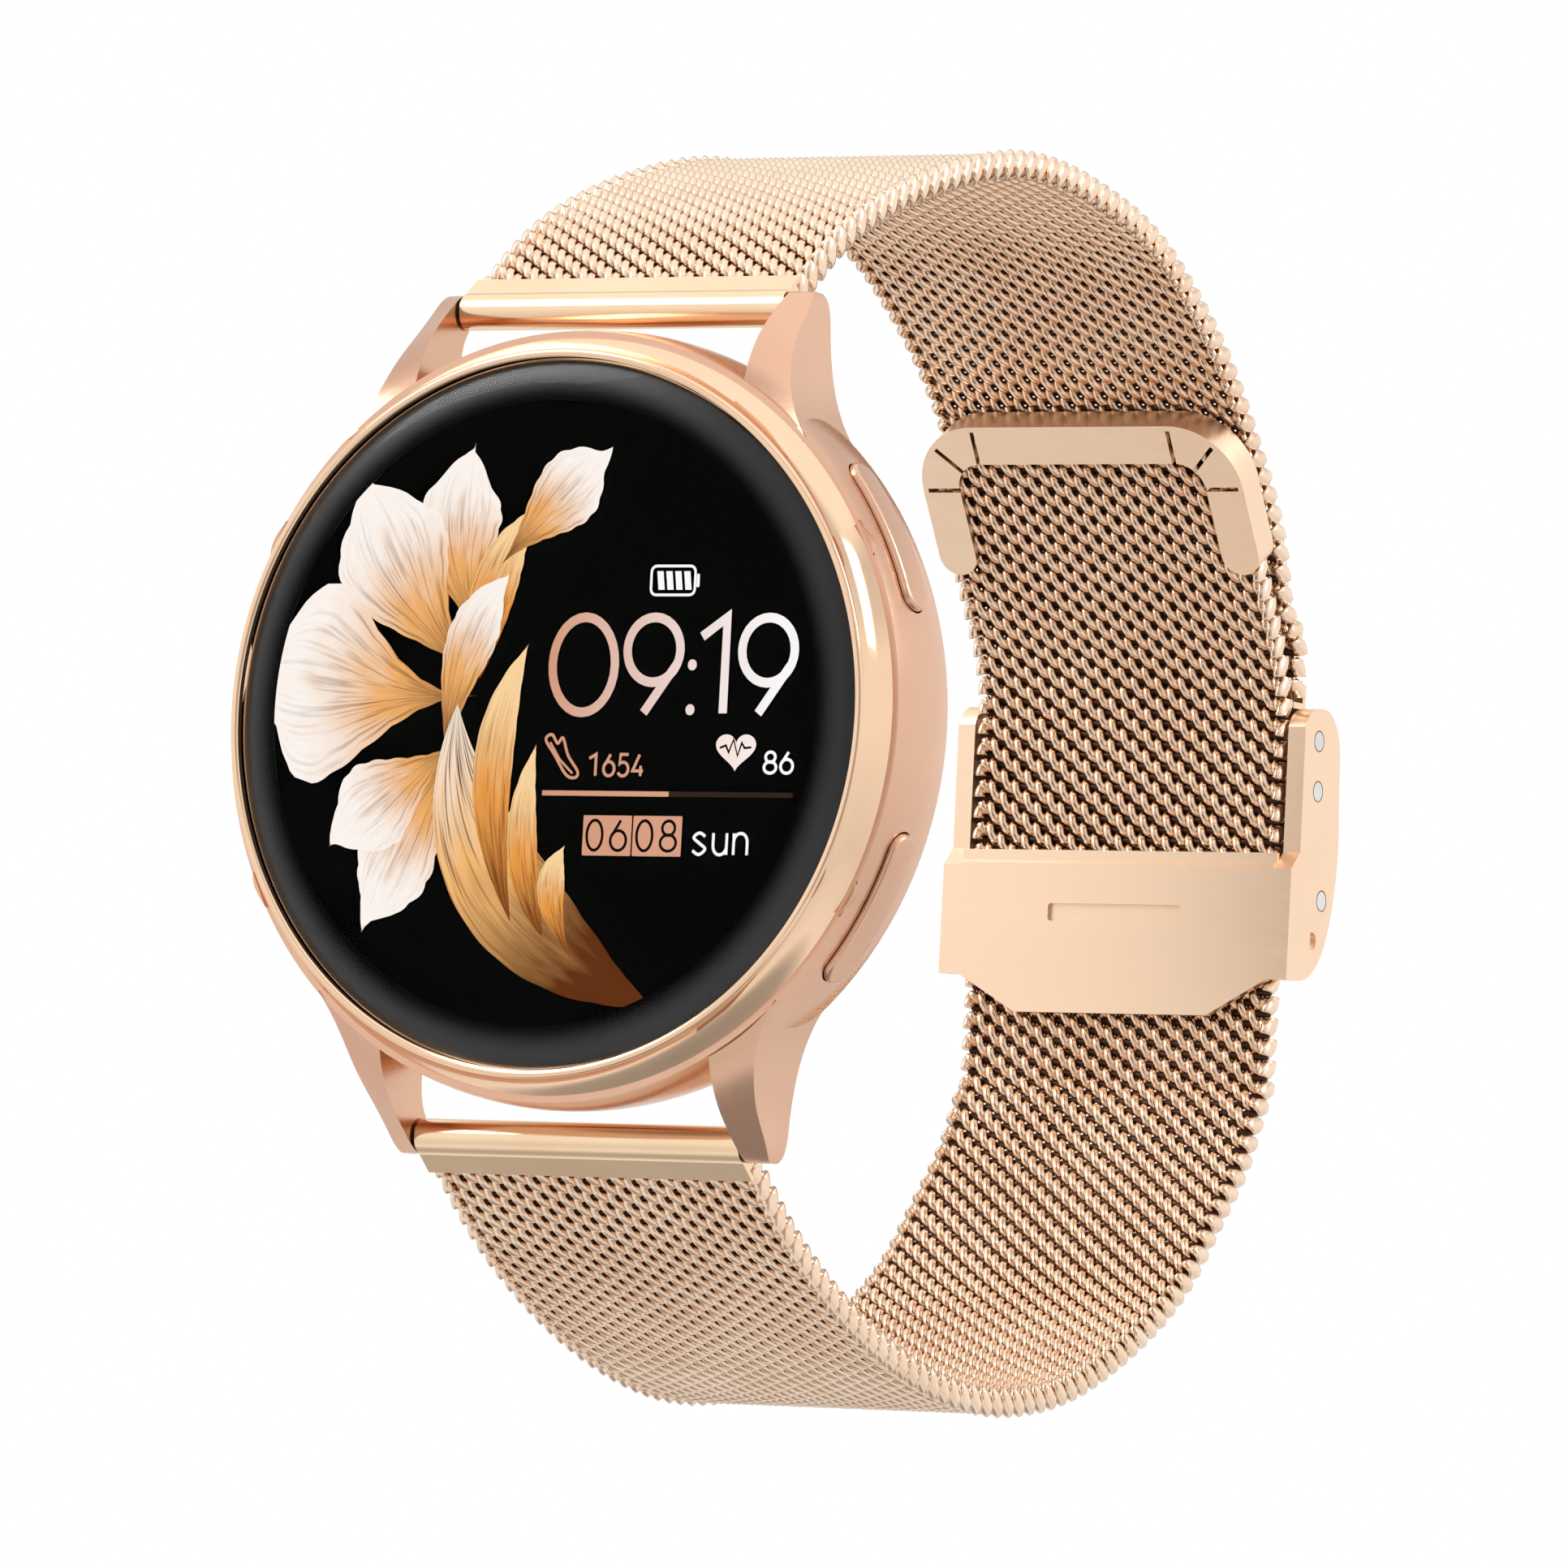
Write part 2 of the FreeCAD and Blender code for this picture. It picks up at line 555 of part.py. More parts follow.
# ---- rim of the free end ----
TRIM_HALF = 11.35
TRIM_R = 4.4
TRIM_BAND = 2.6
TRIM_SHEET = 0.35
TRIM_LEG = 10.0          # from the end of the mesh back to the ends of the legs
SLIT = 0.28


def tongue_shape(half, radius, length, thickness, back=0.0):
    """Plate with two rounded corners, lying in XZ with its end at z = 0 and running to z = -length."""
    plate = box(-half, half, -thickness / 2, thickness / 2, -length, back)
    corners = [e for e in plate.Edges if e.BoundBox.YLength > thickness * 0.9]
    edges = [e for e in corners if e.BoundBox.ZMin > back - 0.01]
    return plate.makeFillet(radius, edges)


def to_free_end(shape):
    """Moves a shape made at the origin to the end of the free end's straight part."""
    result = shape.copy()
    result.rotate(V(0, 0, 0), V(1, 0, 0), FREE_TILT)
    result.translate(free_end_points()[2])
    return result


def free_end_trim():
    thickness = STRAP_T + 2 * TRIM_SHEET
    outer = tongue_shape(TRIM_HALF, TRIM_R, TRIM_LEG, thickness, TRIM_SHEET)
    window = tongue_shape(TRIM_HALF - TRIM_BAND, TRIM_R - TRIM_BAND, TRIM_LEG + 1, 2 * thickness,
                          TRIM_SHEET - TRIM_BAND)
    mesh_room = tongue_shape(STRAP_W / 2, TRIM_R - TRIM_SHEET, TRIM_LEG + 1, STRAP_T)
    trim = outer.cut(window).cut(mesh_room)
    leg_x, leg_z = TRIM_HALF - TRIM_BAND / 2, TRIM_BAND / 2 - TRIM_LEG
    keep = [box(-TRIM_HALF - 1, TRIM_HALF + 1, -thickness, thickness, leg_z, 1)]
    keep += [disc(TRIM_BAND / 2, -thickness, thickness, side * leg_x, leg_z) for side in (-1, 1)]
    trim = trim.common(fused(keep))
    centre_x, centre_z = TRIM_HALF - TRIM_R, TRIM_SHEET - TRIM_R
    for sign in (-1, 1):
        for angle in (0, 45, 90):
            cut = box(TRIM_R - TRIM_BAND - 0.5, TRIM_R - TRIM_SHEET, -3, 3, -SLIT / 2, SLIT / 2)
            cut.rotate(V(0, 0, 0), V(0, 1, 0), -angle)
            cut.translate(V(centre_x, 0, centre_z))
            if sign < 0:
                cut = cut.mirror(V(0, 0, 0), V(1, 0, 0))
            trim = trim.cut(cut)
    return to_free_end(trim)


def rounded_free_end(mesh):
    """The lower mesh with its two free corners rounded to fit inside the rim."""
    keep = to_free_end(tongue_shape(STRAP_W / 2, TRIM_R - TRIM_SHEET, 8.0, 6))
    tip_zone = to_free_end(box(-15, 15, -3, 3, -5.0, 3.0))
    return mesh.cut(tip_zone.cut(keep))


# ---- clasp ----
CHEEK_EDGE = [(61.6, 6.1), (62.15, 6.9), (63.6, 7.4), (65.1, 7.15), (66.05, 6.1), (66.6, 2.5),
              (66.85, -0.9), (66.4, -4.9), (65.25, -7.9), (63.9, -9.3), (62.3, -9.8)]
CHEEK_FOOT = [(60.6, -9.85), (60.6, -2.9), (61.7, -1.8)]
GRIP_MARK = (63.85, -7.2)
PLATE_Z = (-9.85, -1.9)
PLATE_STEP = 0.3         # the plate's top edge is stepped back by this much
TONGUE_Z = -12.2
RIVET_R, RIVET_T = 0.6, 0.3
RIVET_GAP = 0.08         # dark ring round each rivet head
SLOT_HALF = 4.75         # engraved slot on the inner face of the plate
SLOT_Z = (-6.4, -5.3)


def rivet_pin(centre, half=CHEEK_OUT):
    shaft = rod(PIN_R, -half, half, *centre)
    heads = [rod(RIVET_R, -half, -half + RIVET_T, *centre), rod(RIVET_R, half - RIVET_T, half, *centre)]
    return fused([shaft] + heads)


def cheek(x0, x1):
    """Side plate of the clasp with a rounded outline."""
    points = [V(x0, y, z) for y, z in CHEEK_EDGE]
    edge = Part.BSplineCurve()
    edge.interpolate(points)
    foot = Part.makePolygon([points[-1]] + [V(x0, y, z) for y, z in CHEEK_FOOT] + [points[0]])
    return Part.Face(Part.Wire([edge.toShape()] + foot.Edges)).extrude(V(x1 - x0, 0, 0))


def clasp_frame():
    cheeks = [cheek(CHEEK_IN, CHEEK_OUT), cheek(-CHEEK_OUT, -CHEEK_IN)]
    low, high = PLATE_Y
    lip = high - PLATE_STEP
    plate = slab([(low, PLATE_Z[0]), (high, PLATE_Z[0]), (high, PLATE_Z[1]), (lip, PLATE_Z[1]),
                  (lip, PLATE_Z[1] - 0.7), (low + 0.12, PLATE_Z[1] - 0.7), (low, PLATE_Z[1] - 0.85)],
                 -CHEEK_IN, CHEEK_IN)
    edge = [(-11.0, PLATE_Z[0]), (11.0, PLATE_Z[0]), (6.85, TONGUE_Z), (-6.85, TONGUE_Z)]
    wire = Part.makePolygon([V(x, low, z) for x, z in edge + edge[:1]])
    tongue = Part.Face(wire).extrude(V(0, high - low, 0))
    frame = fused(cheeks + [plate, tongue])
    slot = box(-SLOT_HALF, SLOT_HALF, low - 1, low + 0.3, *SLOT_Z)
    slot = slot.makeFillet(0.2, [e for e in slot.Edges if abs(e.Vertexes[0].Y - e.Vertexes[1].Y) > 1])
    mark = rod(0.55, CHEEK_OUT - 0.25, CHEEK_OUT + 1, *GRIP_MARK)
    mark = mark.common(box(CHEEK_IN, CHEEK_OUT + 1, GRIP_MARK[0] - 0.25, GRIP_MARK[0] + 1, -9, -6))
    frame = frame.cut(slot).cut(mark)
    for centre in (HOOK_BAR, GUIDE_BAR, FLAP_PIN):
        frame = frame.cut(rod(PIN_R + 0.01, -15, 15, *centre))
        for side in (-1, 1):
            x0, x1 = sorted((side * (CHEEK_OUT - RIVET_T - 0.01), side * (CHEEK_OUT + 1)))
            frame = frame.cut(rod(RIVET_R + RIVET_GAP, x0, x1, *centre))
    return frame


def clasp_flap():
    """Outer cover that turns on its pin, with a cam lobe that grips the mesh when it is shut."""
    y0, z0 = FLAP_PIN
    outer = Part.Arc(V(0, 65.5, 6.4), V(0, 66.1, 1.2), V(0, 66.05, -4.4)).toShape()
    inner = Part.Arc(V(0, 65.35, -4.0), V(0, 65.4, 1.2), V(0, 64.9, 6.4)).toShape()
    cover = Part.makePolygon([V(0, 66.05, -4.4), V(0, 65.35, -4.0)])
    top = Part.makePolygon([V(0, 64.9, 6.4), V(0, 65.5, 6.4)])
    face = Part.Face(Part.Wire([outer] + cover.Edges + [inner] + top.Edges))
    plate = face.extrude(V(2 * FLAP_HALF, 0, 0))
    plate.translate(V(-FLAP_HALF, 0, 0))
    eye = rod(FLAP_R, -FLAP_HALF, FLAP_HALF, y0, z0)
    lobe = slab([(y0, z0 - FLAP_R), (y0 - CAM_R, z0 - 0.6), (y0 - CAM_R, z0 + 0.5), (y0, z0 + FLAP_R)],
                -LOBE_HALF, LOBE_HALF)
    flap = fused([plate, eye, lobe])
    return flap.cut(rod(PIN_R + 0.03, -12, 12, y0, z0)).removeSplitter()


# ---- write every sub-part ----
def main():
    save("case_body", case_body())
    save("bezel_ring", bezel_ring())
    save("cover_glass", cover_glass())
    glass_back = GLASS_EDGE_Y + GLASS_T
    save("glass_adhesive", ring(GLASS_R - 0.1, SENSOR_R + 0.05, glass_back, glass_back + FILM_T))
    save("touch_sensor", disc(SENSOR_R, glass_back, glass_back + FILM_T))
    save("display_panel", disc(17.6, glass_back + FILM_T, PANEL_BACK))
    save("display_flex", display_flex())
    save("mid_frame", mid_frame())
    save("battery", battery())
    save("main_board", main_board())
    save("board_chips", board_chips())
    save("vibration_motor_base", vibration_motor_base())
    save("vibration_motor_can", vibration_motor_can())
    save("vibration_motor_rotor", motor_rotor())
    save("case_back", case_back())
    save("case_back_gasket", ring(BACK_R, CAVITY_R + 0.05, SEAT_Y, SEAT_Y + GASKET_T))
    save("case_back_screws", case_back_screws())
    save("sensor_window", sensor_window())
    save("sensor_board", disc(8.0, SENSOR_BOARD_FRONT, SENSOR_BOARD_REAR))
    save("sensor_leds", sensor_leds())
    contacts = [disc(CONTACT_R, SENSOR_BOARD_REAR, -0.2, x, CONTACT_Z) for x in CONTACT_X]
    save("charging_contacts", Part.makeCompound(contacts))
    for name, sign in (("upper", 1), ("lower", -1)):
        angle = sign * BUTTON_ANGLE
        save(f"{name}_button", swung(button(), angle))
        save(f"{name}_button_seal", swung(button_seal(), angle))
        save(f"{name}_button_switch", swung(button_switch(), angle))
    meshes = {"upper": upper_mesh(), "lower": rounded_free_end(lower_mesh())}
    for index, name in enumerate(("upper", "lower")):
        save(f"{name}_spring_bar", both_ways(spring_bar())[index])
        save(f"{name}_strap_tube", both_ways(strap_tube())[index])
        save(f"{name}_strap_mesh", meshes[name])
        for side, flip in (("right", False), ("left", True)):
            for part, shape in (("tip", bar_tip()), ("spring", bar_spring())):
                if flip:
                    shape = shape.mirror(V(0, 0, 0), V(1, 0, 0))
                save(f"{name}_bar_{part}_{side}", both_ways(shape)[index])
    save("upper_strap_hook", upper_strap_hook())
    save("free_end_trim", free_end_trim())
    save("clasp_frame", clasp_frame())
    save("hook_bar", rivet_pin(HOOK_BAR))
    save("guide_bar", rivet_pin(GUIDE_BAR))
    save("flap_pin", rivet_pin(FLAP_PIN))
    save("clasp_flap", clasp_flap())


main()
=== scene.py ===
import bisect
import json
import math

import bpy
from mathutils import Matrix, Vector
from mathutils.bvhtree import BVHTree


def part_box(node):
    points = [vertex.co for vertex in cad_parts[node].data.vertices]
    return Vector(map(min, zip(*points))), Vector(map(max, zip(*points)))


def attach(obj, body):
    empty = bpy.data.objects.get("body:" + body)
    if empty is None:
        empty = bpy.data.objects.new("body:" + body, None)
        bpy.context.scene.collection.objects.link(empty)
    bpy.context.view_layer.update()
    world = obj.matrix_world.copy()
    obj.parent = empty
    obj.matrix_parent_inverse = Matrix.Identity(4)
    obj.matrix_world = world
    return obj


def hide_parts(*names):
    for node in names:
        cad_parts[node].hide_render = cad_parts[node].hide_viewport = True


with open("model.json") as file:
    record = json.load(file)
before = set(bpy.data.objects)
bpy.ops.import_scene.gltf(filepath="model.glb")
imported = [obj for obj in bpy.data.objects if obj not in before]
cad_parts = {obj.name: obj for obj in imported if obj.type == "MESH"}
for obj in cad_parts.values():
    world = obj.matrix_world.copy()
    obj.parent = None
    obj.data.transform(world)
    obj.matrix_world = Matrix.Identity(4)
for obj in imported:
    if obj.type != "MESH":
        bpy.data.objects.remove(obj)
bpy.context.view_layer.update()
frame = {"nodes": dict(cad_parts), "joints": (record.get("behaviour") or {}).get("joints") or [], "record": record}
nodes = frame["nodes"]

MM = 0.001
TAU = 2 * math.pi

# ---- places worked out from the frame, in metres ----
GLASS_LOW, GLASS_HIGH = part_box("cover_glass")
GLASS_R = GLASS_HIGH.x
GLASS_BACK = GLASS_HIGH.y
PANEL_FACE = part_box("touch_sensor")[0].y
STRAP_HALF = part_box("upper_strap_mesh")[1].x
LOOP_Y = 26 * MM                 # a point inside the wrist loop, level with the dial's centre


# ---- mesh helpers ----
def new_object(name, verts, faces, materials, smooth=True):
    """Mesh object from lists of points and faces, put in the scene."""
    mesh = bpy.data.meshes.new(name)
    mesh.from_pydata(verts, [], faces)
    mesh.update()
    obj = bpy.data.objects.new(name, mesh)
    bpy.context.scene.collection.objects.link(obj)
    for material in materials:
        mesh.materials.append(material)
    mesh.polygons.foreach_set("use_smooth", [smooth] * len(mesh.polygons))
    return obj


# ---- materials ----
def base_material(name):
    """New material with its tree and its shader."""
    material = bpy.data.materials.new(name)
    material.use_nodes = True
    tree = material.node_tree
    shader = tree.nodes["Principled BSDF"]
    return material, tree, shader


def add(tree, kind, **values):
    """New node with the given input values or settings."""
    node = tree.nodes.new(kind)
    for key, value in values.items():
        if key in node.inputs:
            node.inputs[key].default_value = value
        else:
            setattr(node, key, value)
    return node


DRIFT_SCALE = 180.0              # colour drifts over about 5 mm


def metal(name, light, dark, roughness, grain_scale, grain_height, stretch=(1, 1, 1)):
    """Plated metal: colour drifts between two tones, and fine grain drives roughness and bump."""
    material, tree, shader = base_material(name)
    links = tree.links
    coords = add(tree, "ShaderNodeTexCoord")
    mapping = add(tree, "ShaderNodeMapping")
    mapping.inputs["Scale"].default_value = stretch
    links.new(coords.outputs["Object"], mapping.inputs["Vector"])
    drift = add(tree, "ShaderNodeTexNoise", Scale=DRIFT_SCALE, Detail=3.0)
    links.new(mapping.outputs["Vector"], drift.inputs["Vector"])
    ramp = add(tree, "ShaderNodeValToRGB")
    ramp.color_ramp.elements[0].position = 0.35
    ramp.color_ramp.elements[0].color = (*dark, 1)
    ramp.color_ramp.elements[1].position = 0.65
    ramp.color_ramp.elements[1].color = (*light, 1)
    links.new(drift.outputs["Fac"], ramp.inputs["Fac"])
    links.new(ramp.outputs["Color"], shader.inputs["Base Color"])
    grain = add(tree, "ShaderNodeTexNoise", Scale=grain_scale, Detail=4.0)
    links.new(mapping.outputs["Vector"], grain.inputs["Vector"])
    spread = add(tree, "ShaderNodeMapRange")
    spread.inputs["To Min"].default_value = roughness * 0.8
    spread.inputs["To Max"].default_value = roughness * 1.2
    links.new(grain.outputs["Fac"], spread.inputs["Value"])
    links.new(spread.outputs["Result"], shader.inputs["Roughness"])
    bump = add(tree, "ShaderNodeBump", Strength=0.25, Distance=grain_height)
    links.new(grain.outputs["Fac"], bump.inputs["Height"])
    links.new(bump.outputs["Normal"], shader.inputs["Normal"])
    shader.inputs["Metallic"].default_value = 1.0
    return material


def plastic(name, light, dark, roughness, scale=900.0, coat=0.0, gloss=0.5):
    """Moulded or printed plastic with a fine stipple."""
    material, tree, shader = base_material(name)
    links = tree.links
    coords = add(tree, "ShaderNodeTexCoord")
    noise = add(tree, "ShaderNodeTexNoise", Scale=scale, Detail=3.0)
    links.new(coords.outputs["Object"], noise.inputs["Vector"])
    ramp = add(tree, "ShaderNodeValToRGB")
    ramp.color_ramp.elements[0].position = 0.3
    ramp.color_ramp.elements[0].color = (*dark, 1)
    ramp.color_ramp.elements[1].position = 0.7
    ramp.color_ramp.elements[1].color = (*light, 1)
    links.new(noise.outputs["Fac"], ramp.inputs["Fac"])
    links.new(ramp.outputs["Color"], shader.inputs["Base Color"])
    bump = add(tree, "ShaderNodeBump", Strength=0.2, Distance=0.00002)
    links.new(noise.outputs["Fac"], bump.inputs["Height"])
    links.new(bump.outputs["Normal"], shader.inputs["Normal"])
    shader.inputs["Roughness"].default_value = roughness
    shader.inputs["Coat Weight"].default_value = coat
    shader.inputs["Specular IOR Level"].default_value = gloss
    return material


def clear_glass(name):
    """Clear hard glass with faint wipe marks."""
    material, tree, shader = base_material(name)
    links = tree.links
    coords = add(tree, "ShaderNodeTexCoord")
    smear = add(tree, "ShaderNodeTexNoise", Scale=60.0, Detail=2.0)
    links.new(coords.outputs["Object"], smear.inputs["Vector"])
    spread = add(tree, "ShaderNodeMapRange")
    spread.inputs["To Min"].default_value = 0.0
    spread.inputs["To Max"].default_value = 0.02
    links.new(smear.outputs["Fac"], spread.inputs["Value"])
    links.new(spread.outputs["Result"], shader.inputs["Roughness"])
    shader.inputs["Base Color"].default_value = (1, 1, 1, 1)
    shader.inputs["Transmission Weight"].default_value = 1.0
    shader.inputs["IOR"].default_value = 1.1
    return material


def glowing(name, left, right, x0, x1, strength=1.0):
    """Lit display ink: the colour runs from left to right between two places on the dial."""
    material, tree, shader = base_material(name)
    links = tree.links
    coords = add(tree, "ShaderNodeTexCoord")
    parts = add(tree, "ShaderNodeSeparateXYZ")
    links.new(coords.outputs["Object"], parts.inputs["Vector"])
    place = add(tree, "ShaderNodeMapRange")
    place.inputs["From Min"].default_value = x0
    place.inputs["From Max"].default_value = x1
    links.new(parts.outputs["X"], place.inputs["Value"])
    ramp = add(tree, "ShaderNodeValToRGB")
    ramp.color_ramp.elements[0].color = (*left, 1)
    ramp.color_ramp.elements[1].color = (*right, 1)
    links.new(place.outputs["Result"], ramp.inputs["Fac"])
    links.new(ramp.outputs["Color"], shader.inputs["Emission Color"])
    shader.inputs["Emission Strength"].default_value = strength
    shader.inputs["Base Color"].default_value = (0, 0, 0, 1)
    shader.inputs["Specular IOR Level"].default_value = 0.0
    shader.inputs["Roughness"].default_value = 0.8
    return material


BRUSHED = (0.15, 1, 1)           # stretch of a grain that runs across the strap
CASE = metal("rose_gold_satin", (0.79, 0.49, 0.345), (0.76, 0.465, 0.325), 0.24, 2600.0, 0.000004)
BEZEL = metal("rose_gold_polish", (0.95, 0.67, 0.465), (0.92, 0.635, 0.43), 0.10, 1500.0, 0.000002)
CLASP = metal("rose_gold_brushed", (0.99, 0.74, 0.54), (0.98, 0.725, 0.525), 0.34, 1800.0, 0.000002, BRUSHED)
WIRE = metal("rose_gold_wire", (0.98, 0.76, 0.58), (0.93, 0.68, 0.50), 0.22, 2500.0, 0.000002)
TUBE = metal("rose_gold_tube", (0.97, 0.73, 0.50), (0.95, 0.69, 0.46), 0.16, 1500.0, 0.000002)
# Near-black metal for the cross pins: painted shade that darkens the holes of the weave as if deep in shadow
PAINTED_SHADE_PINS = metal("cross_wire_painted_shade", (0.10, 0.058, 0.040), (0.06, 0.034, 0.024), 0.5, 1500.0, 0.000004)
STEEL = metal("bare_steel", (0.85, 0.84, 0.83), (0.75, 0.74, 0.73), 0.22, 2200.0, 0.000003)
GOLD = metal("gold_contact", (0.95, 0.72, 0.35), (0.90, 0.66, 0.30), 0.2, 1800.0, 0.000002)
FOIL = metal("battery_foil", (0.80, 0.80, 0.82), (0.66, 0.66, 0.68), 0.38, 900.0, 0.00001)
GLASS = clear_glass("cover_glass_clear")
BLACK = plastic("display_black", (0.0012, 0.0012, 0.0013), (0.0008, 0.0008, 0.0009), 0.35, gloss=0.0)
DARK = plastic("dark_plastic", (0.030, 0.029, 0.029), (0.020, 0.020, 0.020), 0.42)
BACK = plastic("back_plastic", (0.060, 0.057, 0.056), (0.045, 0.043, 0.043), 0.36, 1400.0)
WINDOW = plastic("window_tint", (0.012, 0.008, 0.010), (0.008, 0.006, 0.008), 0.08, 500.0, 1.0)
SEAL = plastic("seal_rubber", (0.030, 0.030, 0.030), (0.020, 0.020, 0.020), 0.75)
BOARD = plastic("board_green", (0.020, 0.130, 0.070), (0.014, 0.095, 0.050), 0.4, 700.0)
CHIP = plastic("chip_black", (0.030, 0.030, 0.033), (0.022, 0.022, 0.025), 0.5)
FLEX = plastic("flex_amber", (0.55, 0.27, 0.06), (0.45, 0.21, 0.045), 0.35)
LED = plastic("led_epoxy", (0.65, 0.85, 0.60), (0.55, 0.75, 0.52), 0.2)


def paint_cad_nodes():
    """Gives every CAD node the material of its slot in the record."""
    by_slot = {
        "case_metal": CASE, "bezel_metal": BEZEL, "clasp_metal": CLASP, "mesh_metal": WIRE,
        "tube_metal": TUBE, "glass": GLASS, "clear_film": BLACK, "display": BLACK, "adhesive": SEAL,
        "black_plastic": DARK,
        "back_plastic": BACK, "window": WINDOW, "seal": SEAL, "board": BOARD, "chip": CHIP, "flex": FLEX,
        "foil": FOIL, "steel": STEEL, "contact": GOLD, "led": LED,
    }
    for entry in frame["record"]["subparts"]:
        obj = nodes[entry["node"]]
        obj.data.materials.clear()
        obj.data.materials.append(by_slot[entry["material_slot"]])


# Grey reflectivity the border reaches at its rim: painted reflection standing in for the glass's own rim
# reflection
BORDER_PAINTED_REFLECTION = (0.04, 0.04, 0.041)


def border_print_painted_reflection(name, inner, outer):
    """Black border print under the glass edge, as metal whose reflectivity grows from its inner to its outer
    radius: a real reflection of the surround, with painted reflection in its rising strength that stands in for
    the glass's rim reflection.
    """
    material, tree, shader = base_material(name)
    links = tree.links
    coords = add(tree, "ShaderNodeTexCoord")
    flat = add(tree, "ShaderNodeMapping")
    flat.inputs["Scale"].default_value = (1, 0, 1)
    links.new(coords.outputs["Object"], flat.inputs["Vector"])
    radius = add(tree, "ShaderNodeVectorMath", operation="LENGTH")
    links.new(flat.outputs["Vector"], radius.inputs[0])
    place = add(tree, "ShaderNodeMapRange")
    place.inputs["From Min"].default_value = inner
    place.inputs["From Max"].default_value = outer
    links.new(radius.outputs["Value"], place.inputs["Value"])
    ramp = add(tree, "ShaderNodeValToRGB")
    ramp.color_ramp.interpolation = "EASE"
    ramp.color_ramp.elements[0].color = (0.0004, 0.0004, 0.0004, 1)
    ramp.color_ramp.elements[1].color = (*BORDER_PAINTED_REFLECTION, 1)
    links.new(place.outputs["Result"], ramp.inputs["Fac"])
    links.new(ramp.outputs["Color"], shader.inputs["Base Color"])
    shader.inputs["Metallic"].default_value = 1.0
    shader.inputs["Roughness"].default_value = 0.38
    return material


# ---- display picture: strokes and shapes just in front of the touch sensor ----
INK_STEP = 0.004 * MM            # each layer of the picture lies this far in front of the last
ROSE = (0.66, 0.32, 0.20)
BLUSH = (0.90, 0.62, 0.52)
WHITE = (0.95, 0.93, 0.92)
DIAL_LEFT, DIAL_RIGHT = -0.5 * MM, 15.0 * MM
ROSE_INK = glowing("ink_rose_to_white", ROSE, WHITE, DIAL_LEFT, DIAL_RIGHT)
PLAIN_ROSE = glowing("ink_rose", ROSE, (0.70, 0.35, 0.23), 0.0, 9 * MM)
BLUSH_INK = glowing("ink_blush", BLUSH, WHITE, 5 * MM, 18 * MM)
WHITE_INK = glowing("ink_white", WHITE, (1.0, 0.99, 0.98), 0.0, 18 * MM)
DIM_INK = glowing("ink_dim", (0.035, 0.018, 0.013), (0.03, 0.016, 0.012), 8 * MM, 17 * MM)
DARK_INK = glowing("ink_dark", (0.006, 0.003, 0.002), (0.006, 0.003, 0.002), 0.0, 18 * MM)


def spline_value(p0, p1, p2, p3, t):
    """Value of a smooth curve at the share t of the way from p1 to p2."""
    return 0.5 * (2 * p1 + (p2 - p0) * t + (2 * p0 - 5 * p1 + 4 * p2 - p3) * t * t
                  + (3 * p1 - p0 - 3 * p2 + p3) * t ** 3)


def curve_through(points, closed=False, parts=8):
    """Smooth run of points through the given ones."""
    count = len(points)
    spans = count if closed else count - 1
    result = []
    for i in range(spans):
        if closed:
            around = [points[(i + k - 1) % count] for k in range(4)]
        else:
            around = [points[min(max(i + k - 1, 0), count - 1)] for k in range(4)]
        for j in range(parts):
            result.append(tuple(spline_value(*values, j / parts) for values in zip(*around)))
    if not closed:
        result.append(tuple(points[-1]))
    return result


def oval(cx, cy, rx, ry, start=0.0, end=360.0, count=28):
    """Points round an oval, or part of one, between two angles in degrees."""
    return [(cx + rx * math.cos(math.radians(start + (end - start) * i / count)),
             cy + ry * math.sin(math.radians(start + (end - start) * i / count))) for i in range(count + 1)]


# Each glyph is a list of strokes in a box one wide and one high.
GLYPHS = {
    "0": [oval(0.5, 0.5, 0.5, 0.5)],
    "1": [[(0.0, 0.80), (0.62, 1.0), (0.62, 0.0)]],
    "4": [[(0.98, 0.24), (0.0, 0.24), (0.60, 1.0)], [(0.74, 0.48), (0.74, 0.0)]],
    "5": [[(0.92, 1.0), (0.20, 1.0), (0.12, 0.56)] + oval(0.44, 0.32, 0.50, 0.32, 125, -150)],
    "6": [oval(0.5, 0.33, 0.5, 0.33), [(0.62, 1.0), (0.10, 0.50)]],
    "8": [oval(0.5, 0.76, 0.40, 0.24), oval(0.5, 0.27, 0.50, 0.27)],
    "9": [oval(0.5, 0.66, 0.5, 0.34), [(0.93, 0.50), (0.36, 0.0)]],
    "S": [curve_through([(0.88, 0.84), (0.50, 1.0), (0.14, 0.78), (0.50, 0.53), (0.90, 0.26), (0.50, 0.0),
                         (0.08, 0.18)])],
    "U": [[(0.04, 1.0)] + oval(0.48, 0.42, 0.44, 0.42, 180, 360), [(0.92, 1.0), (0.92, 0.0)]],
    "N": [[(0.06, 1.0), (0.06, 0.0)], oval(0.50, 0.58, 0.44, 0.42, 180, 0) + [(0.94, 0.0)]],
}


PICTURE_RIGHT, PICTURE_UP = -0.50, 0.09  # where the picture's origin lies on the dial, in millimetres


def dial_point(x, z, y):
    """Place in the frame of a point of the picture, given in millimetres across and up."""
    return ((x + PICTURE_RIGHT) * MM, y, (z + PICTURE_UP) * MM)


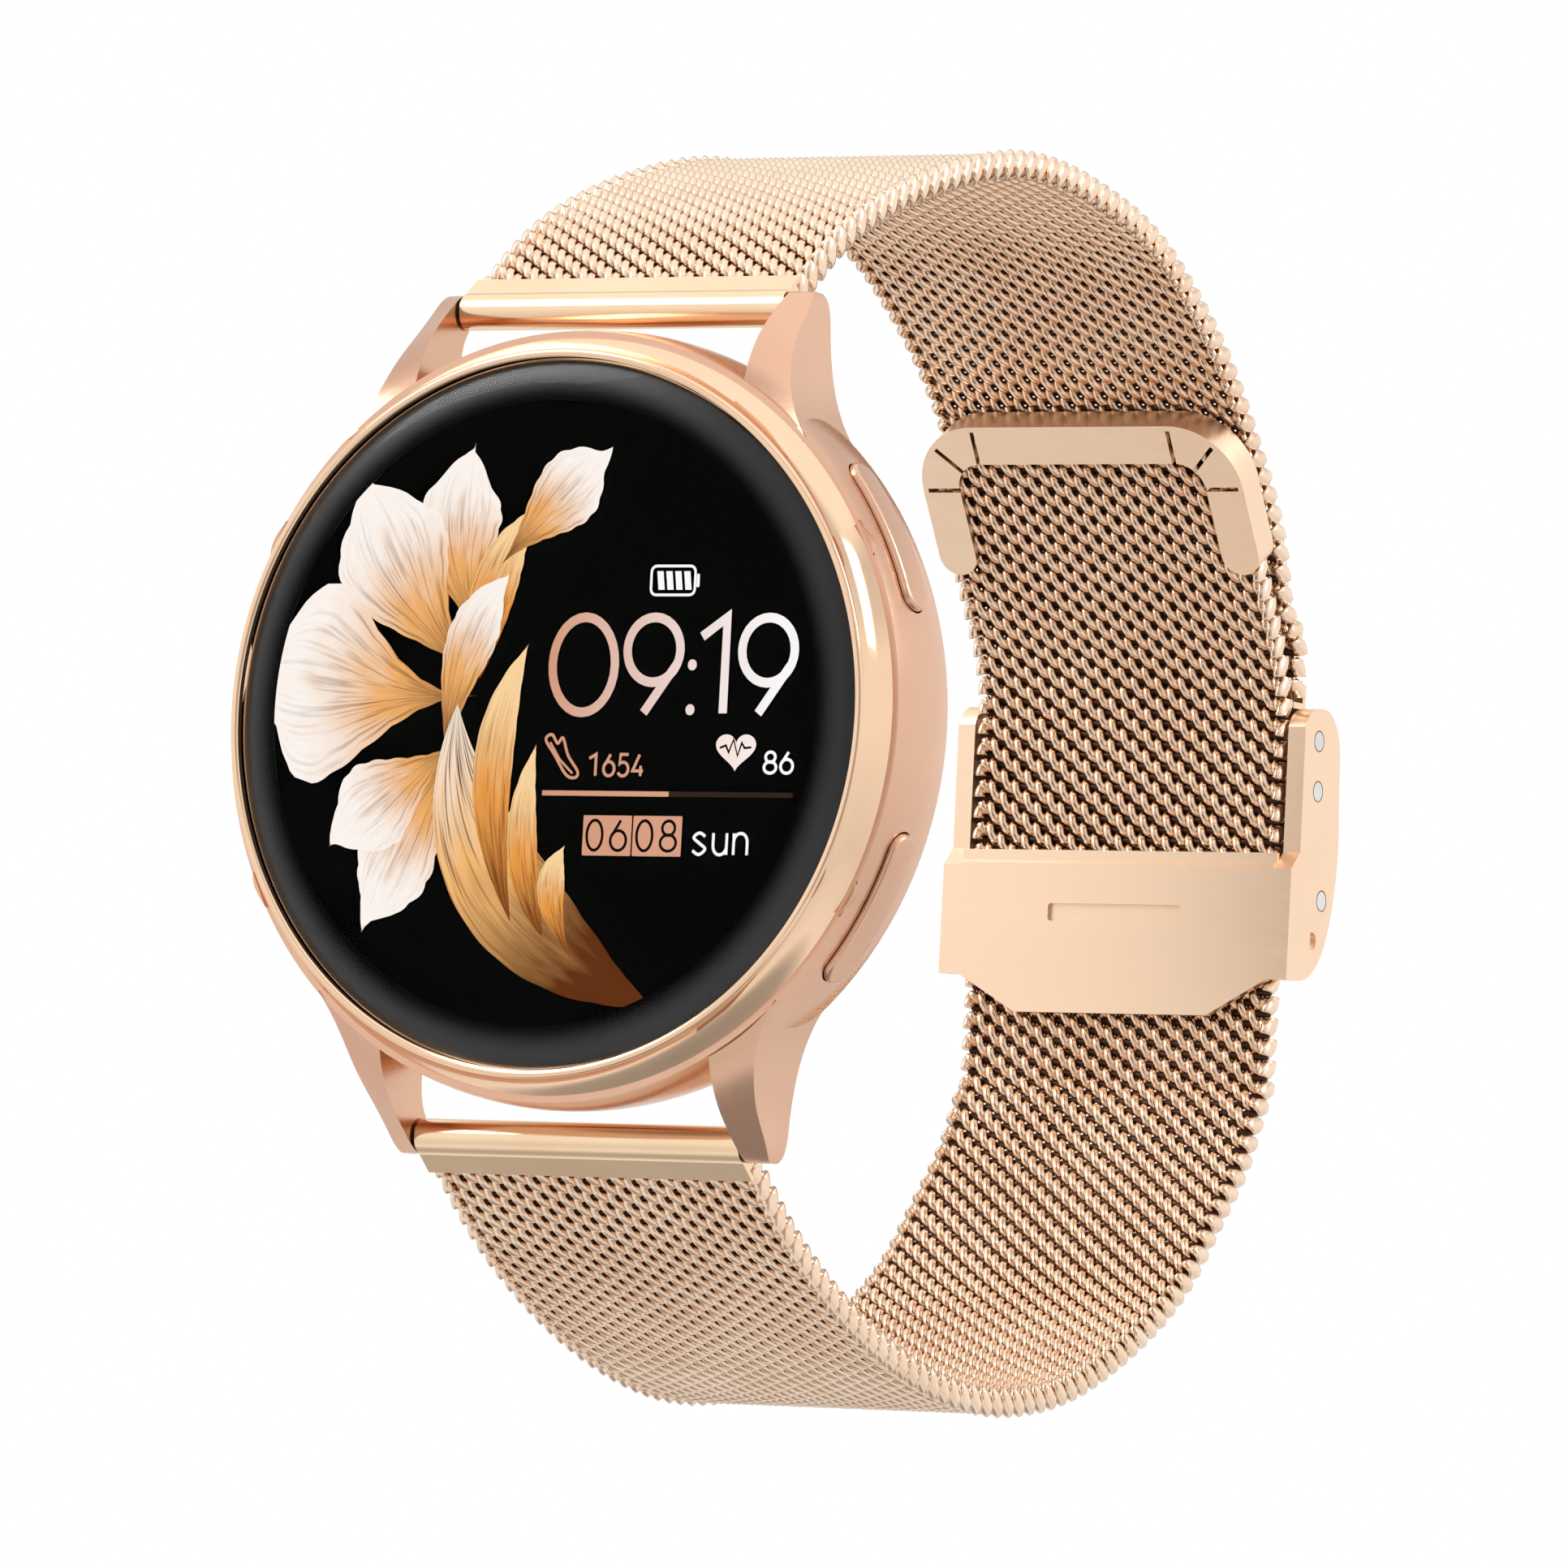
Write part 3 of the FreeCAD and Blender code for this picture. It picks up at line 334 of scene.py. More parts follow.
class Picture:
    """Collects flat shapes of one colour and layer, and makes them into one piece."""

    def __init__(self, name, material, layer):
        self.name, self.material = name, material
        self.y = PANEL_FACE - (layer + 1) * INK_STEP
        self.verts, self.faces = [], []

    def area(self, outline):
        """Filled shape from a closed outline in millimetres."""
        first = len(self.verts)
        self.verts += [dial_point(x, z, self.y) for x, z in outline]
        self.faces.append(tuple(range(first, first + len(outline))))

    def stroke(self, points, width, closed=False):
        """Even stroke along points in millimetres."""
        count = len(points)
        first = len(self.verts)
        for i, (x, z) in enumerate(points):
            before = points[i - 1] if closed or i else points[0]
            after = points[(i + 1) % count] if closed or i < count - 1 else points[-1]
            into = Vector((x - before[0], z - before[1]))
            out = Vector((after[0] - x, after[1] - z))
            into = into.normalized() if into.length > 1e-9 else out.normalized()
            out = out.normalized() if out.length > 1e-9 else into
            along = (into + out).normalized()
            mitre = width / 2 / max(0.5, along.dot(out))
            for side in (1, -1):
                self.verts.append(dial_point(x - along.y * mitre * side, z + along.x * mitre * side, self.y))
        for i in range(count if closed else count - 1):
            a, b = first + 2 * i, first + 2 * ((i + 1) % count)
            self.faces.append((a, a + 1, b + 1, b))

    def glyph(self, letter, x, z, wide, high, width):
        for strokes in GLYPHS[letter]:
            places = [(x + px * wide, z + pz * high) for px, pz in strokes]
            closed = math.dist(places[0], places[-1]) < 1e-6
            self.stroke(places[:-1] if closed else places, width, closed)

    def finish(self):
        piece = new_object(self.name, self.verts, self.faces, [self.material], False)
        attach(piece, "case")


def rounded_box(x0, x1, z0, z1, r, count=5):
    """Outline of a box with round corners."""
    corners = ((x1 - r, z1 - r, 0), (x0 + r, z1 - r, 90), (x0 + r, z0 + r, 180), (x1 - r, z0 + r, 270))
    return [point for x, z, a in corners for point in oval(x, z, r, r, a, a + 90, count)]


def heart_outline(x, z, count=48):
    """Closed heart about a middle."""
    outline = []
    for i in range(count):
        t = TAU * i / count
        rise = 13 * math.cos(t) - 5 * math.cos(2 * t) - 2 * math.cos(3 * t) - math.cos(4 * t)
        outline.append((x + HEART_HALF * math.sin(t) ** 3, z + HEART_RISE * rise))
    return outline


TIME_STROKE = 0.56
SMALL_STROKE = 0.18
FINE_STROKE = 0.13
HEART_HALF, HEART_RISE = 1.34, 0.075
BAR_LOW, BAR_HIGH = -4.80, -4.50         # the progress bar
BAR_LEFT, BAR_MIDDLE, BAR_RIGHT = 0.08, 8.6, 16.86


def make_readings():
    """Time, steps, heart rate, battery and date, in millimetres on the dial."""
    time = Picture("display_time", ROSE_INK, 12)
    for letter, x, wide in (("0", 0.33, 4.2), ("9", 5.33, 3.55), ("1", 10.3, 2.6), ("9", 13.0, 3.5)):
        time.glyph(letter, x, 0.05, wide, 5.55, TIME_STROKE)
    for z in (0.25, 2.85):
        time.area(oval(9.72, z, 0.30, 0.32))
    time.finish()
    steps = Picture("display_steps", PLAIN_ROSE, 12)
    for i, letter in enumerate("1654"):
        steps.glyph(letter, 3.15 + 0.98 * i, -3.62, 0.72, 1.25, SMALL_STROKE)
    shoe = curve_through([(0.15, -1.55), (0.55, -1.25), (0.95, -1.75), (1.30, -1.45), (1.70, -2.45),
                          (2.40, -3.40), (2.20, -3.75), (1.60, -3.55), (0.80, -2.45)], True)
    steps.stroke(shoe, SMALL_STROKE, True)
    steps.stroke([(0.45, -1.7), (1.15, -2.7), (2.05, -3.5)], SMALL_STROKE * 0.8)
    steps.area(rounded_box(BAR_LEFT, BAR_MIDDLE, BAR_LOW, BAR_HIGH, 0.05))
    for x0, x1 in ((2.98, 6.24), (6.34, 9.61)):
        steps.area(rounded_box(x0, x1, -8.26, -5.92, 0.08))
    steps.finish()
    rest = Picture("display_bar_rest", DIM_INK, 12)
    rest.area(rounded_box(BAR_MIDDLE, BAR_RIGHT, BAR_LOW, BAR_HIGH, 0.05))
    rest.finish()
    date = Picture("display_date", DARK_INK, 13)
    for letter, x in (("0", 3.25), ("6", 4.85), ("0", 6.60), ("8", 8.20)):
        date.glyph(letter, x, -7.95, 1.05, 1.75, SMALL_STROKE)
    date.finish()
    heart = Picture("display_heart", BLUSH_INK, 12)
    heart.area(heart_outline(12.92, -2.05))
    heart.finish()
    pulse = Picture("display_pulse", DARK_INK, 13)
    pulse.stroke([(11.85, -1.95), (12.25, -1.80), (12.45, -2.20), (12.75, -1.45), (13.05, -2.40),
                  (13.30, -1.65), (13.50, -1.95), (13.95, -1.90)], FINE_STROKE)
    pulse.finish()
    white = Picture("display_white", WHITE_INK, 12)
    for letter, x in (("8", 14.85), ("6", 15.95)):
        white.glyph(letter, x, -3.38, 0.80, 1.22, SMALL_STROKE)
    for letter, x in (("S", 10.30), ("U", 11.70), ("N", 13.05)):
        white.glyph(letter, x, -8.12, 1.02, 1.25, SMALL_STROKE)
    white.stroke(rounded_box(6.68, 9.62, 6.90, 8.58, 0.35), 0.16, True)
    white.area(rounded_box(9.72, 9.92, 7.35, 8.13, 0.08))
    for i in range(4):
        x = 7.05 + 0.60 * i
        white.area([(x, 8.28), (x + 0.42, 8.28), (x + 0.56, 7.20), (x + 0.14, 7.20)])
    white.finish()


def petal_material(name, root, middle, tip, veins):
    """Lit petal: colour runs from root to tip, with fine dark flutes that fade towards the tip."""
    material, tree, shader = base_material(name)
    links = tree.links
    coords = add(tree, "ShaderNodeTexCoord")
    parts = add(tree, "ShaderNodeSeparateXYZ")
    links.new(coords.outputs["UV"], parts.inputs["Vector"])
    ramp = add(tree, "ShaderNodeValToRGB")
    stops = ramp.color_ramp.elements
    stops[0].color = (*root, 1)
    stops[1].position = 0.80
    stops[1].color = (*tip, 1)
    stop = stops.new(0.42)
    stop.color = (*middle, 1)
    wobble = add(tree, "ShaderNodeTexNoise", Scale=5.0, Detail=3.0)
    links.new(coords.outputs["UV"], wobble.inputs["Vector"])
    drift = add(tree, "ShaderNodeMath", operation="MULTIPLY_ADD")
    drift.inputs[1].default_value = 0.30
    links.new(wobble.outputs["Fac"], drift.inputs[0])
    links.new(parts.outputs["X"], drift.inputs[2])
    shift = add(tree, "ShaderNodeMath", operation="SUBTRACT")
    shift.inputs[1].default_value = 0.15
    links.new(drift.outputs["Value"], shift.inputs[0])
    links.new(shift.outputs["Value"], ramp.inputs["Fac"])
    stretch = add(tree, "ShaderNodeMapping")
    stretch.inputs["Scale"].default_value = (1.2, veins, 1)
    links.new(coords.outputs["UV"], stretch.inputs["Vector"])
    flutes = add(tree, "ShaderNodeTexNoise", Scale=3.0, Detail=1.5)
    links.new(stretch.outputs["Vector"], flutes.inputs["Vector"])
    lines = add(tree, "ShaderNodeMapRange")
    lines.inputs["From Min"].default_value = 0.50
    lines.inputs["From Max"].default_value = 0.66
    links.new(flutes.outputs["Fac"], lines.inputs["Value"])
    fade = add(tree, "ShaderNodeMapRange")
    fade.inputs["From Min"].default_value = 0.95
    fade.inputs["From Max"].default_value = 0.15
    links.new(shift.outputs["Value"], fade.inputs["Value"])
    depth = add(tree, "ShaderNodeMath", operation="MULTIPLY")
    links.new(lines.outputs["Result"], depth.inputs[0])
    links.new(fade.outputs["Result"], depth.inputs[1])
    mix = add(tree, "ShaderNodeMix", data_type="RGBA")
    mix.inputs[7].default_value = (0.10, 0.025, 0.004, 1)
    links.new(depth.outputs["Value"], mix.inputs[0])
    links.new(ramp.outputs["Color"], mix.inputs[6])
    links.new(mix.outputs[2], shader.inputs["Emission Color"])
    shader.inputs["Emission Strength"].default_value = 1.0
    shader.inputs["Base Color"].default_value = (0, 0, 0, 1)
    shader.inputs["Specular IOR Level"].default_value = 0.0
    return material


PALE_PETAL = petal_material("petal_pale", (0.18, 0.05, 0.01), (0.85, 0.42, 0.14), (0.97, 0.90, 0.84), 10.0)
GOLD_PETAL = petal_material("petal_gold", (0.20, 0.05, 0.01), (0.80, 0.33, 0.07), (0.95, 0.66, 0.34), 7.0)
TAIL_PETAL = petal_material("petal_tail", (0.95, 0.84, 0.72), (0.88, 0.48, 0.17), (0.12, 0.03, 0.006), 9.0)

# Every petal: material, root, middle and tip of its axis (x, z in millimetres), half width, where it is
# widest, and how deep its edge is ruffled
PETALS = (
    (PALE_PETAL, (-5.2, -1.0), (-8.5, -6.0), (-11.2, -11.8), 2.5, 0.72, 0.5),
    (PALE_PETAL, (-5.0, -1.5), (-9.0, -3.5), (-13.4, -7.2), 2.6, 0.78, 0.5),
    (PALE_PETAL, (-4.2, 3.5), (-7.5, 9.0), (-6.0, 14.6), 2.7, 0.72, 0.4),
    (PALE_PETAL, (-4.6, 2.0), (-9.5, 5.5), (-12.6, 12.6), 3.7, 0.75, 0.5),
    (PALE_PETAL, (-4.6, 1.0), (-10.5, 0.8), (-18.3, 2.2), 5.8, 0.80, 0.6),
    (GOLD_PETAL, (-4.6, 2.0), (-4.8, 7.5), (-1.8, 11.6), 1.5, 0.5, 0.2),
    (PALE_PETAL, (-3.6, 8.6), (-1.0, 11.5), (2.9, 14.9), 2.1, 0.72, 0.4),
    (PALE_PETAL, (-6.6, -3.0), (-6.6, 3.5), (-3.4, 7.6), 1.6, 0.66, 0.3),
    (TAIL_PETAL, (-6.0, 0.5), (-6.5, -11.0), (7.6, -16.8), 3.1, 0.55, 0.2),
    (GOLD_PETAL, (-1.6, -12.2), (-5.2, -3.5), (-1.6, 3.6), 1.3, 0.55, 0.12),
    (GOLD_PETAL, (0.6, -13.0), (-2.2, -8.0), (-0.6, -2.2), 1.0, 0.5, 0.12),
    (GOLD_PETAL, (2.6, -14.2), (0.0, -10.5), (1.6, -8.0), 0.9, 0.6, 0.1),
)
PETAL_LONG, PETAL_WIDE = 40, 24


def make_petal(index, material, root, middle, tip, half, widest, ruffle):
    """Leaf-shaped sheet along a curved axis, with a ruffled outer edge."""
    root, middle, tip = Vector(root), Vector(middle), Vector(tip)
    y = PANEL_FACE - (index + 1) * INK_STEP / 2
    power = math.log(0.5) / math.log(widest)
    verts, faces, uvs = [], [], []
    for i in range(PETAL_LONG + 1):
        u = i / PETAL_LONG
        spine = root * (1 - u) ** 2 + middle * 2 * u * (1 - u) + tip * u * u
        along = ((middle - root) * (1 - u) + (tip - middle) * u).normalized()
        wide = half * math.sin(math.pi * min(1.0, u ** power)) ** 0.8
        for j in range(PETAL_WIDE + 1):
            v = 2 * j / PETAL_WIDE - 1
            wave = ruffle * u * u * (0.6 * math.sin(9.0 * v + index) + 0.4 * math.sin(21.0 * v + 2 * index))
            edge = ruffle * 0.5 * abs(v) ** 3 * math.sin(26.0 * u + index) * u
            side = Vector((-along.y, along.x)) * (v * wide + math.copysign(edge, v))
            place = spine + side + along * (wave + half * 0.35 * u * (1 - v * v))
            verts.append(dial_point(place.x, place.y, y))
            uvs.append((u, j / PETAL_WIDE))
    for i in range(PETAL_LONG):
        for j in range(PETAL_WIDE):
            a = i * (PETAL_WIDE + 1) + j
            faces.append((a, a + 1, a + PETAL_WIDE + 2, a + PETAL_WIDE + 1))
    piece = new_object(f"display_petal_{index + 1}", verts, faces, [material], False)
    layer = piece.data.uv_layers.new(name="along_and_across")
    for loop in piece.data.loops:
        layer.data[loop.index].uv = uvs[loop.vertex_index]
    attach(piece, "case")


# ---- cover glass with a rolled edge ----
GLASS_EDGE_T = 1.0 * MM          # thickness of the glass at its edge
GLASS_SIDE = GLASS_R - 0.04 * MM # its side stays clear of the bezel
GLASS_CHAMFER = 0.05 * MM
GLASS_RINGS = 12
ROLL_START = 18.4 * MM
ROLL_DEPTH = 0.42 * MM
ROLL_RINGS = 18
GLASS_SEGMENTS = 256
PRINT_UNDER = 0.03 * MM          # how far the border print lies under the front of the glass
PRINT_T = 0.02 * MM
PRINT_RINGS = 24
BORDER_IN = 18.2 * MM
BORDER = border_print_painted_reflection("border_print_painted_reflection", BORDER_IN, 19.9 * MM)


def glass_front(r):
    """Y of the glass's front face at a radius: a dome that rolls over at its edge."""
    edge_y = GLASS_BACK - GLASS_EDGE_T
    drop = ROLL_DEPTH * max(0.0, (r - ROLL_START) / (GLASS_SIDE - ROLL_START)) ** 2.2
    return edge_y - (edge_y - GLASS_LOW.y) * (1 - (r / GLASS_R) ** 2) + drop


def turned_sheet(profile, segments, verts, faces):
    """Sheet of revolution about Y through (radius, y) points, added to the lists."""
    first = len(verts)
    spokes = [(math.cos(TAU * k / segments), math.sin(TAU * k / segments)) for k in range(segments)]
    for r, y in profile:
        verts.extend((r * right, y, r * up) for right, up in spokes)
    for i in range(len(profile) - 1):
        a = first + i * segments
        for k in range(segments):
            n = (k + 1) % segments
            faces.append((a + k, a + n, a + segments + n, a + segments + k))


def make_glass():
    """Domed glass whose front rolls over towards the bezel."""
    flat = [ROLL_START * i / GLASS_RINGS for i in range(1, GLASS_RINGS)]
    roll = [ROLL_START + (GLASS_SIDE - ROLL_START) * i / ROLL_RINGS for i in range(ROLL_RINGS + 1)]
    profile = [(r, glass_front(r)) for r in flat + roll]
    profile += [(GLASS_SIDE, GLASS_BACK - GLASS_CHAMFER), (GLASS_SIDE - GLASS_CHAMFER, GLASS_BACK)]
    verts, faces = [], []
    turned_sheet(profile, GLASS_SEGMENTS, verts, faces)
    verts.append((0, glass_front(0), 0))
    centre = len(verts) - 1
    faces.extend((centre, (k + 1) % GLASS_SEGMENTS, k) for k in range(GLASS_SEGMENTS))
    last = (len(profile) - 1) * GLASS_SEGMENTS
    faces.append(tuple(last + k for k in range(GLASS_SEGMENTS)))
    glass = new_object("cover_glass_rolled", verts, faces, [GLASS])
    glass.data.polygons[len(faces) - 1].use_smooth = False
    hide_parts("cover_glass")
    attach(glass, "case")


def make_border():
    """Black border print, with painted reflection towards its rim, that follows the roll of the glass from the
    inside.
    """
    outer = GLASS_R - 0.10 * MM
    radii = [BORDER_IN + (outer - BORDER_IN) * i / PRINT_RINGS for i in range(PRINT_RINGS + 1)]
    front = [(r, glass_front(r) + PRINT_UNDER) for r in radii]
    back = [(r, y + PRINT_T) for r, y in reversed(front)]
    verts, faces = [], []
    turned_sheet(front + back + front[:1], GLASS_SEGMENTS, verts, faces)
    border = new_object("glass_border_print", verts, faces, [BORDER])
    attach(border, "case")


# ---- bezel ----
BEZEL_LOW, BEZEL_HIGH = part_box("bezel_ring")
LEDGE_R = 19.4 * MM              # inner radius of the ledge under the glass
LEDGE_Y = GLASS_BACK + 0.15 * MM
CREST_IN, CREST_OUT = GLASS_R + 0.05 * MM, GLASS_R + 0.55 * MM
CREST_FOOT = 0.15 * MM           # height of the crest's round top
HOLLOW_R, HOLLOW_Y = GLASS_R + 0.76 * MM, BEZEL_LOW.y + 1.22 * MM
BEZEL_SEGMENTS = 288
CREST_PARTS, HOLLOW_PARTS = 14, 18


def arc_through(start, middle, end, count):
    """Points of the arc from start to end through middle, without the last one."""
    (ax, ay), (bx, by), (cx, cy) = start, middle, end
    twice = 2 * (ax * (by - cy) + bx * (cy - ay) + cx * (ay - by))
    a, b, c = ax * ax + ay * ay, bx * bx + by * by, cx * cx + cy * cy
    centre = Vector(((a * (by - cy) + b * (cy - ay) + c * (ay - by)) / twice,
                     (a * (cx - bx) + b * (ax - cx) + c * (bx - ax)) / twice))
    spoke = Vector(start) - centre
    sweep = spoke.angle_signed(Vector(end) - centre)
    return [tuple(centre + Matrix.Rotation(-sweep * i / count, 2) @ spoke) for i in range(count)]


def make_bezel():
    """The CAD bezel turned finely: a narrow round crest, then a hollow slope to the case's rim."""
    crest_y = BEZEL_LOW.y + CREST_FOOT
    inner, crest = (CREST_IN, crest_y), (CREST_OUT, crest_y)
    foot = (BEZEL_HIGH.x, BEZEL_HIGH.y)
    profile = arc_through(inner, ((CREST_IN + CREST_OUT) / 2, BEZEL_LOW.y), crest, CREST_PARTS)
    profile += arc_through(crest, (HOLLOW_R, HOLLOW_Y), foot, HOLLOW_PARTS)
    profile += [foot, (LEDGE_R, BEZEL_HIGH.y), (LEDGE_R, LEDGE_Y), (CREST_IN, LEDGE_Y), inner]
    verts, faces = [], []
    turned_sheet(profile[:-1], BEZEL_SEGMENTS, verts, faces)
    last = (len(profile) - 2) * BEZEL_SEGMENTS
    for k in range(BEZEL_SEGMENTS):
        n = (k + 1) % BEZEL_SEGMENTS
        faces.append((last + k, last + n, n, k))
    bezel = new_object("bezel_ring_turned", verts, faces, [BEZEL])
    bezel.data.set_sharp_from_angle(angle=math.radians(35))
    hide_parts("bezel_ring")
    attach(bezel, "case")


# ---- strap weave ----
ROW_PITCH = 0.67 * MM            # from one spiral row to the next
TURN_PITCH = 1.68 * MM           # length of one turn across the strap
SPIRAL_LONG = 0.62 * MM          # half size of a flattened spiral along the strap
SPIRAL_DEEP = 0.46 * MM          # half size of it through the strap
WIRE_R = 0.285 * MM
PIN_R = 0.235 * MM               # straight cross wires where neighbouring spirals overlap
TURN_STEPS = 12
WIRE_SIDES = 6
SPIRAL_IN = 0.10 * MM            # the spirals end this far inside the edge strands' middle
PIN_PARTS, PIN_SIDES = 8, 6
EDGE_IN = 0.40 * MM              # the edge strands' middle lies this far inside the strap's edge
EDGE_PITCH = 1.33 * MM           # from one edge strand to the next
STRAND_TALL = 0.36 * MM          # half height of a strand's middle line, through the strap
STRAND_LEAN = 0.50 * MM          # half of what it leans along the strap
STRAND_CURL = 0.45               # how much of that lean comes at its two ends
STRAND_BULGE = 0.04 * MM
STRAND_R = 0.58 * MM             # half width along the strap
STRAND_FLAT = 0.60               # its thickness as a share of its width
STRAND_STEPS = 12
STRAND_SIDES = 10


BAND_THIN, BAND_THICK = 1.3 * MM, 2.6 * MM  # what a ray through the strap may measure
OFF_MIDDLE = 0.3 * MM            # the rays miss the CAD mesh's middle edges


def strap_line(node, steps=1440):
    """Middle line of a strap in the YZ plane, found by rays from inside the loop, with its arc lengths."""
    obj = nodes[node]
    tree = BVHTree.FromPolygons([v.co for v in obj.data.vertices], [p.vertices for p in obj.data.polygons])
    centre = Vector((OFF_MIDDLE, LOOP_Y, 0))
    found = []
    for i in range(steps):
        angle = TAU * i / steps - math.pi
        ray = Vector((0, math.cos(angle), math.sin(angle)))
        near = tree.ray_cast(centre, ray)[0]
        if near is None:
            continue
        far = tree.ray_cast(near + ray * 1e-5, ray)[0]
        if far is not None and BAND_THIN < (far - near).length < BAND_THICK:
            found.append((near + far) / 2)
    if node.startswith("upper"):
        found.reverse()
    smooth = []
    for i in range(len(found)):
        around = found[max(0, i - 2):i + 3]
        smooth.append(sum(around, Vector()) / len(around))
    smooth[0], smooth[-1] = found[0], found[-1]
    lengths = [0.0]
    for a, b in zip(smooth, smooth[1:]):
        lengths.append(lengths[-1] + (b - a).length)
    return smooth, lengths


def at_length(line, s):
    """Point, tangent and outward normal at an arc length."""
    points, lengths = line
    s = min(max(s, 0.0), lengths[-1] - 1e-7)
    low = bisect.bisect_right(lengths, s) - 1
    share = (s - lengths[low]) / (lengths[low + 1] - lengths[low])
    point = points[low].lerp(points[low + 1], share)
    a, b = points[max(0, low - 3)], points[min(len(points) - 1, low + 4)]
    tangent = (b - a).normalized()
    outward = Vector((0, tangent.z, -tangent.y))
    if outward.dot(point - Vector((0, LOOP_Y, 0))) < 0:
        outward = -outward
    return point, tangent, outward


def wire_tube(path, radius, sides, closed, verts, faces, flat=1.0):
    """Adds a round wire along a path of points to the lists."""
    count = len(path)
    first = len(verts)
    for i, point in enumerate(path):
        before = path[i - 1] if closed or i else path[0]
        after = path[(i + 1) % count] if closed or i < count - 1 else path[-1]
        along = (after - before).normalized()
        across = along.cross(Vector((1, 0, 0)))
        if across.length < 1e-3:
            across = along.cross(Vector((0, 1, 0)))
        across.normalize()
        up = across.cross(along)
        for k in range(sides):
            angle = TAU * k / sides
            offset = across * math.cos(angle) + up * math.sin(angle) * flat
            verts.append(point + offset * radius)
    rings = count if closed else count - 1
    for i in range(rings):
        a = first + i * sides
        b = first + ((i + 1) % count) * sides
        for k in range(sides):
            n = (k + 1) % sides
            faces.append((a + k, a + n, b + n, b + k))
    if not closed:
        faces.append(tuple(first + k for k in reversed(range(sides))))
        faces.append(tuple(first + (count - 1) * sides + k for k in range(sides)))


def half_width(line, s, corner):
    """Half width of the mesh at an arc length, less where its free corners are round."""
    into = s - (line[1][-1] - corner)
    if corner <= 0 or into <= 0:
        return STRAP_HALF
    return STRAP_HALF - corner + math.sqrt(max(0.0, corner ** 2 - into ** 2))


def weave(name, node, hand, corner=0.0):
    """Every spiral row of a strap, with the welded links along both edges."""
    line = strap_line(node)
    total = line[1][-1]
    verts, faces = [], []
    rows = int((total - 2 * SPIRAL_LONG) / ROW_PITCH)
    spacing = (total - 2 * SPIRAL_LONG) / rows
    for row in range(rows + 1):
        centre = SPIRAL_LONG + row * spacing
        half = half_width(line, centre, corner) - EDGE_IN - SPIRAL_IN
        steps = int(2 * half / TURN_PITCH * TURN_STEPS)
        shift = math.pi * (row % 2)
        path = []
        for i in range(steps + 1):
            x = -half + 2 * half * i / steps
            phase = TAU * x / TURN_PITCH + shift
            point, tangent, outward = at_length(line, centre + hand * SPIRAL_LONG * math.cos(phase))
            path.append(point + outward * (SPIRAL_DEEP * math.sin(phase)) + Vector((x - point.x, 0, 0)))
        wire_tube(path, WIRE_R, WIRE_SIDES, False, verts, faces)
    for side in (-1, 1):
        strands = round(total / EDGE_PITCH)
        for strand in range(strands):
            edge_strand(line, total * (strand + 0.5) / strands, side, corner, verts, faces)
    wires = len(faces)
    # Cross pins where neighbouring spirals overlap, drawn in the painted-shade metal so the weave's holes look
    # dark
    for row in range(rows):
        centre = SPIRAL_LONG + (row + 0.5) * spacing
        half = half_width(line, centre, corner) - EDGE_IN
        point = at_length(line, centre)[0]
        pin = [Vector((-half + 2 * half * i / PIN_PARTS, point.y, point.z)) for i in range(PIN_PARTS + 1)]
        wire_tube(pin, PIN_R, PIN_SIDES, False, verts, faces)
    strap = new_object(name, verts, faces, [WIRE, PAINTED_SHADE_PINS])
    for face in strap.data.polygons[wires:]:
        face.material_index = 1
    return strap


def edge_strand(line, s, side, corner, verts, faces):
    """One S-shaped strand of the plaited edge."""
    point, tangent, outward = at_length(line, s)
    x = side * (half_width(line, s, corner) - EDGE_IN)
    path = []
    for i in range(STRAND_STEPS + 1):
        t = 2 * i / STRAND_STEPS - 1
        along = STRAND_LEAN * ((1 - STRAND_CURL) * t + STRAND_CURL * math.sin(0.5 * math.pi * t) * abs(t))
        bulge = STRAND_BULGE * math.cos(0.5 * math.pi * t)
        centre = point + tangent * along + outward * (STRAND_TALL * math.sin(0.5 * math.pi * t))
        path.append(Vector((x + side * bulge, centre.y, centre.z)))
    wire_tube(path, STRAND_R, STRAND_SIDES, False, verts, faces, STRAND_FLAT)


def make_straps():
    """Woven bands in place of the two plain CAD bands."""
    upper = weave("upper_strap_weave", "upper_strap_mesh", 1)
    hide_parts("upper_strap_mesh")
    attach(upper, "upper_strap")
    lower = weave("lower_strap_weave", "lower_strap_mesh", -1, 4.05 * MM)
    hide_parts("lower_strap_mesh")
    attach(lower, "lower_strap")


# ---- camera, floor and light ----
CAM_TURN = math.radians(29.795)          # round from the dial's front towards the buttons
CAM_RISE = math.radians(-4.234)
CAM_ROLL = math.radians(3.007)
CAM_DISTANCE = 0.7
CAM_RIGHT, CAM_UP = 0.014007, -0.004128  # how far the view's centre is from the glass edge's centre
CAM_AIM = Vector((0, -10.6 * MM, 0))     # centre of the glass's front edge
CAM_LENS = 277.54
CAM_SENSOR = 36


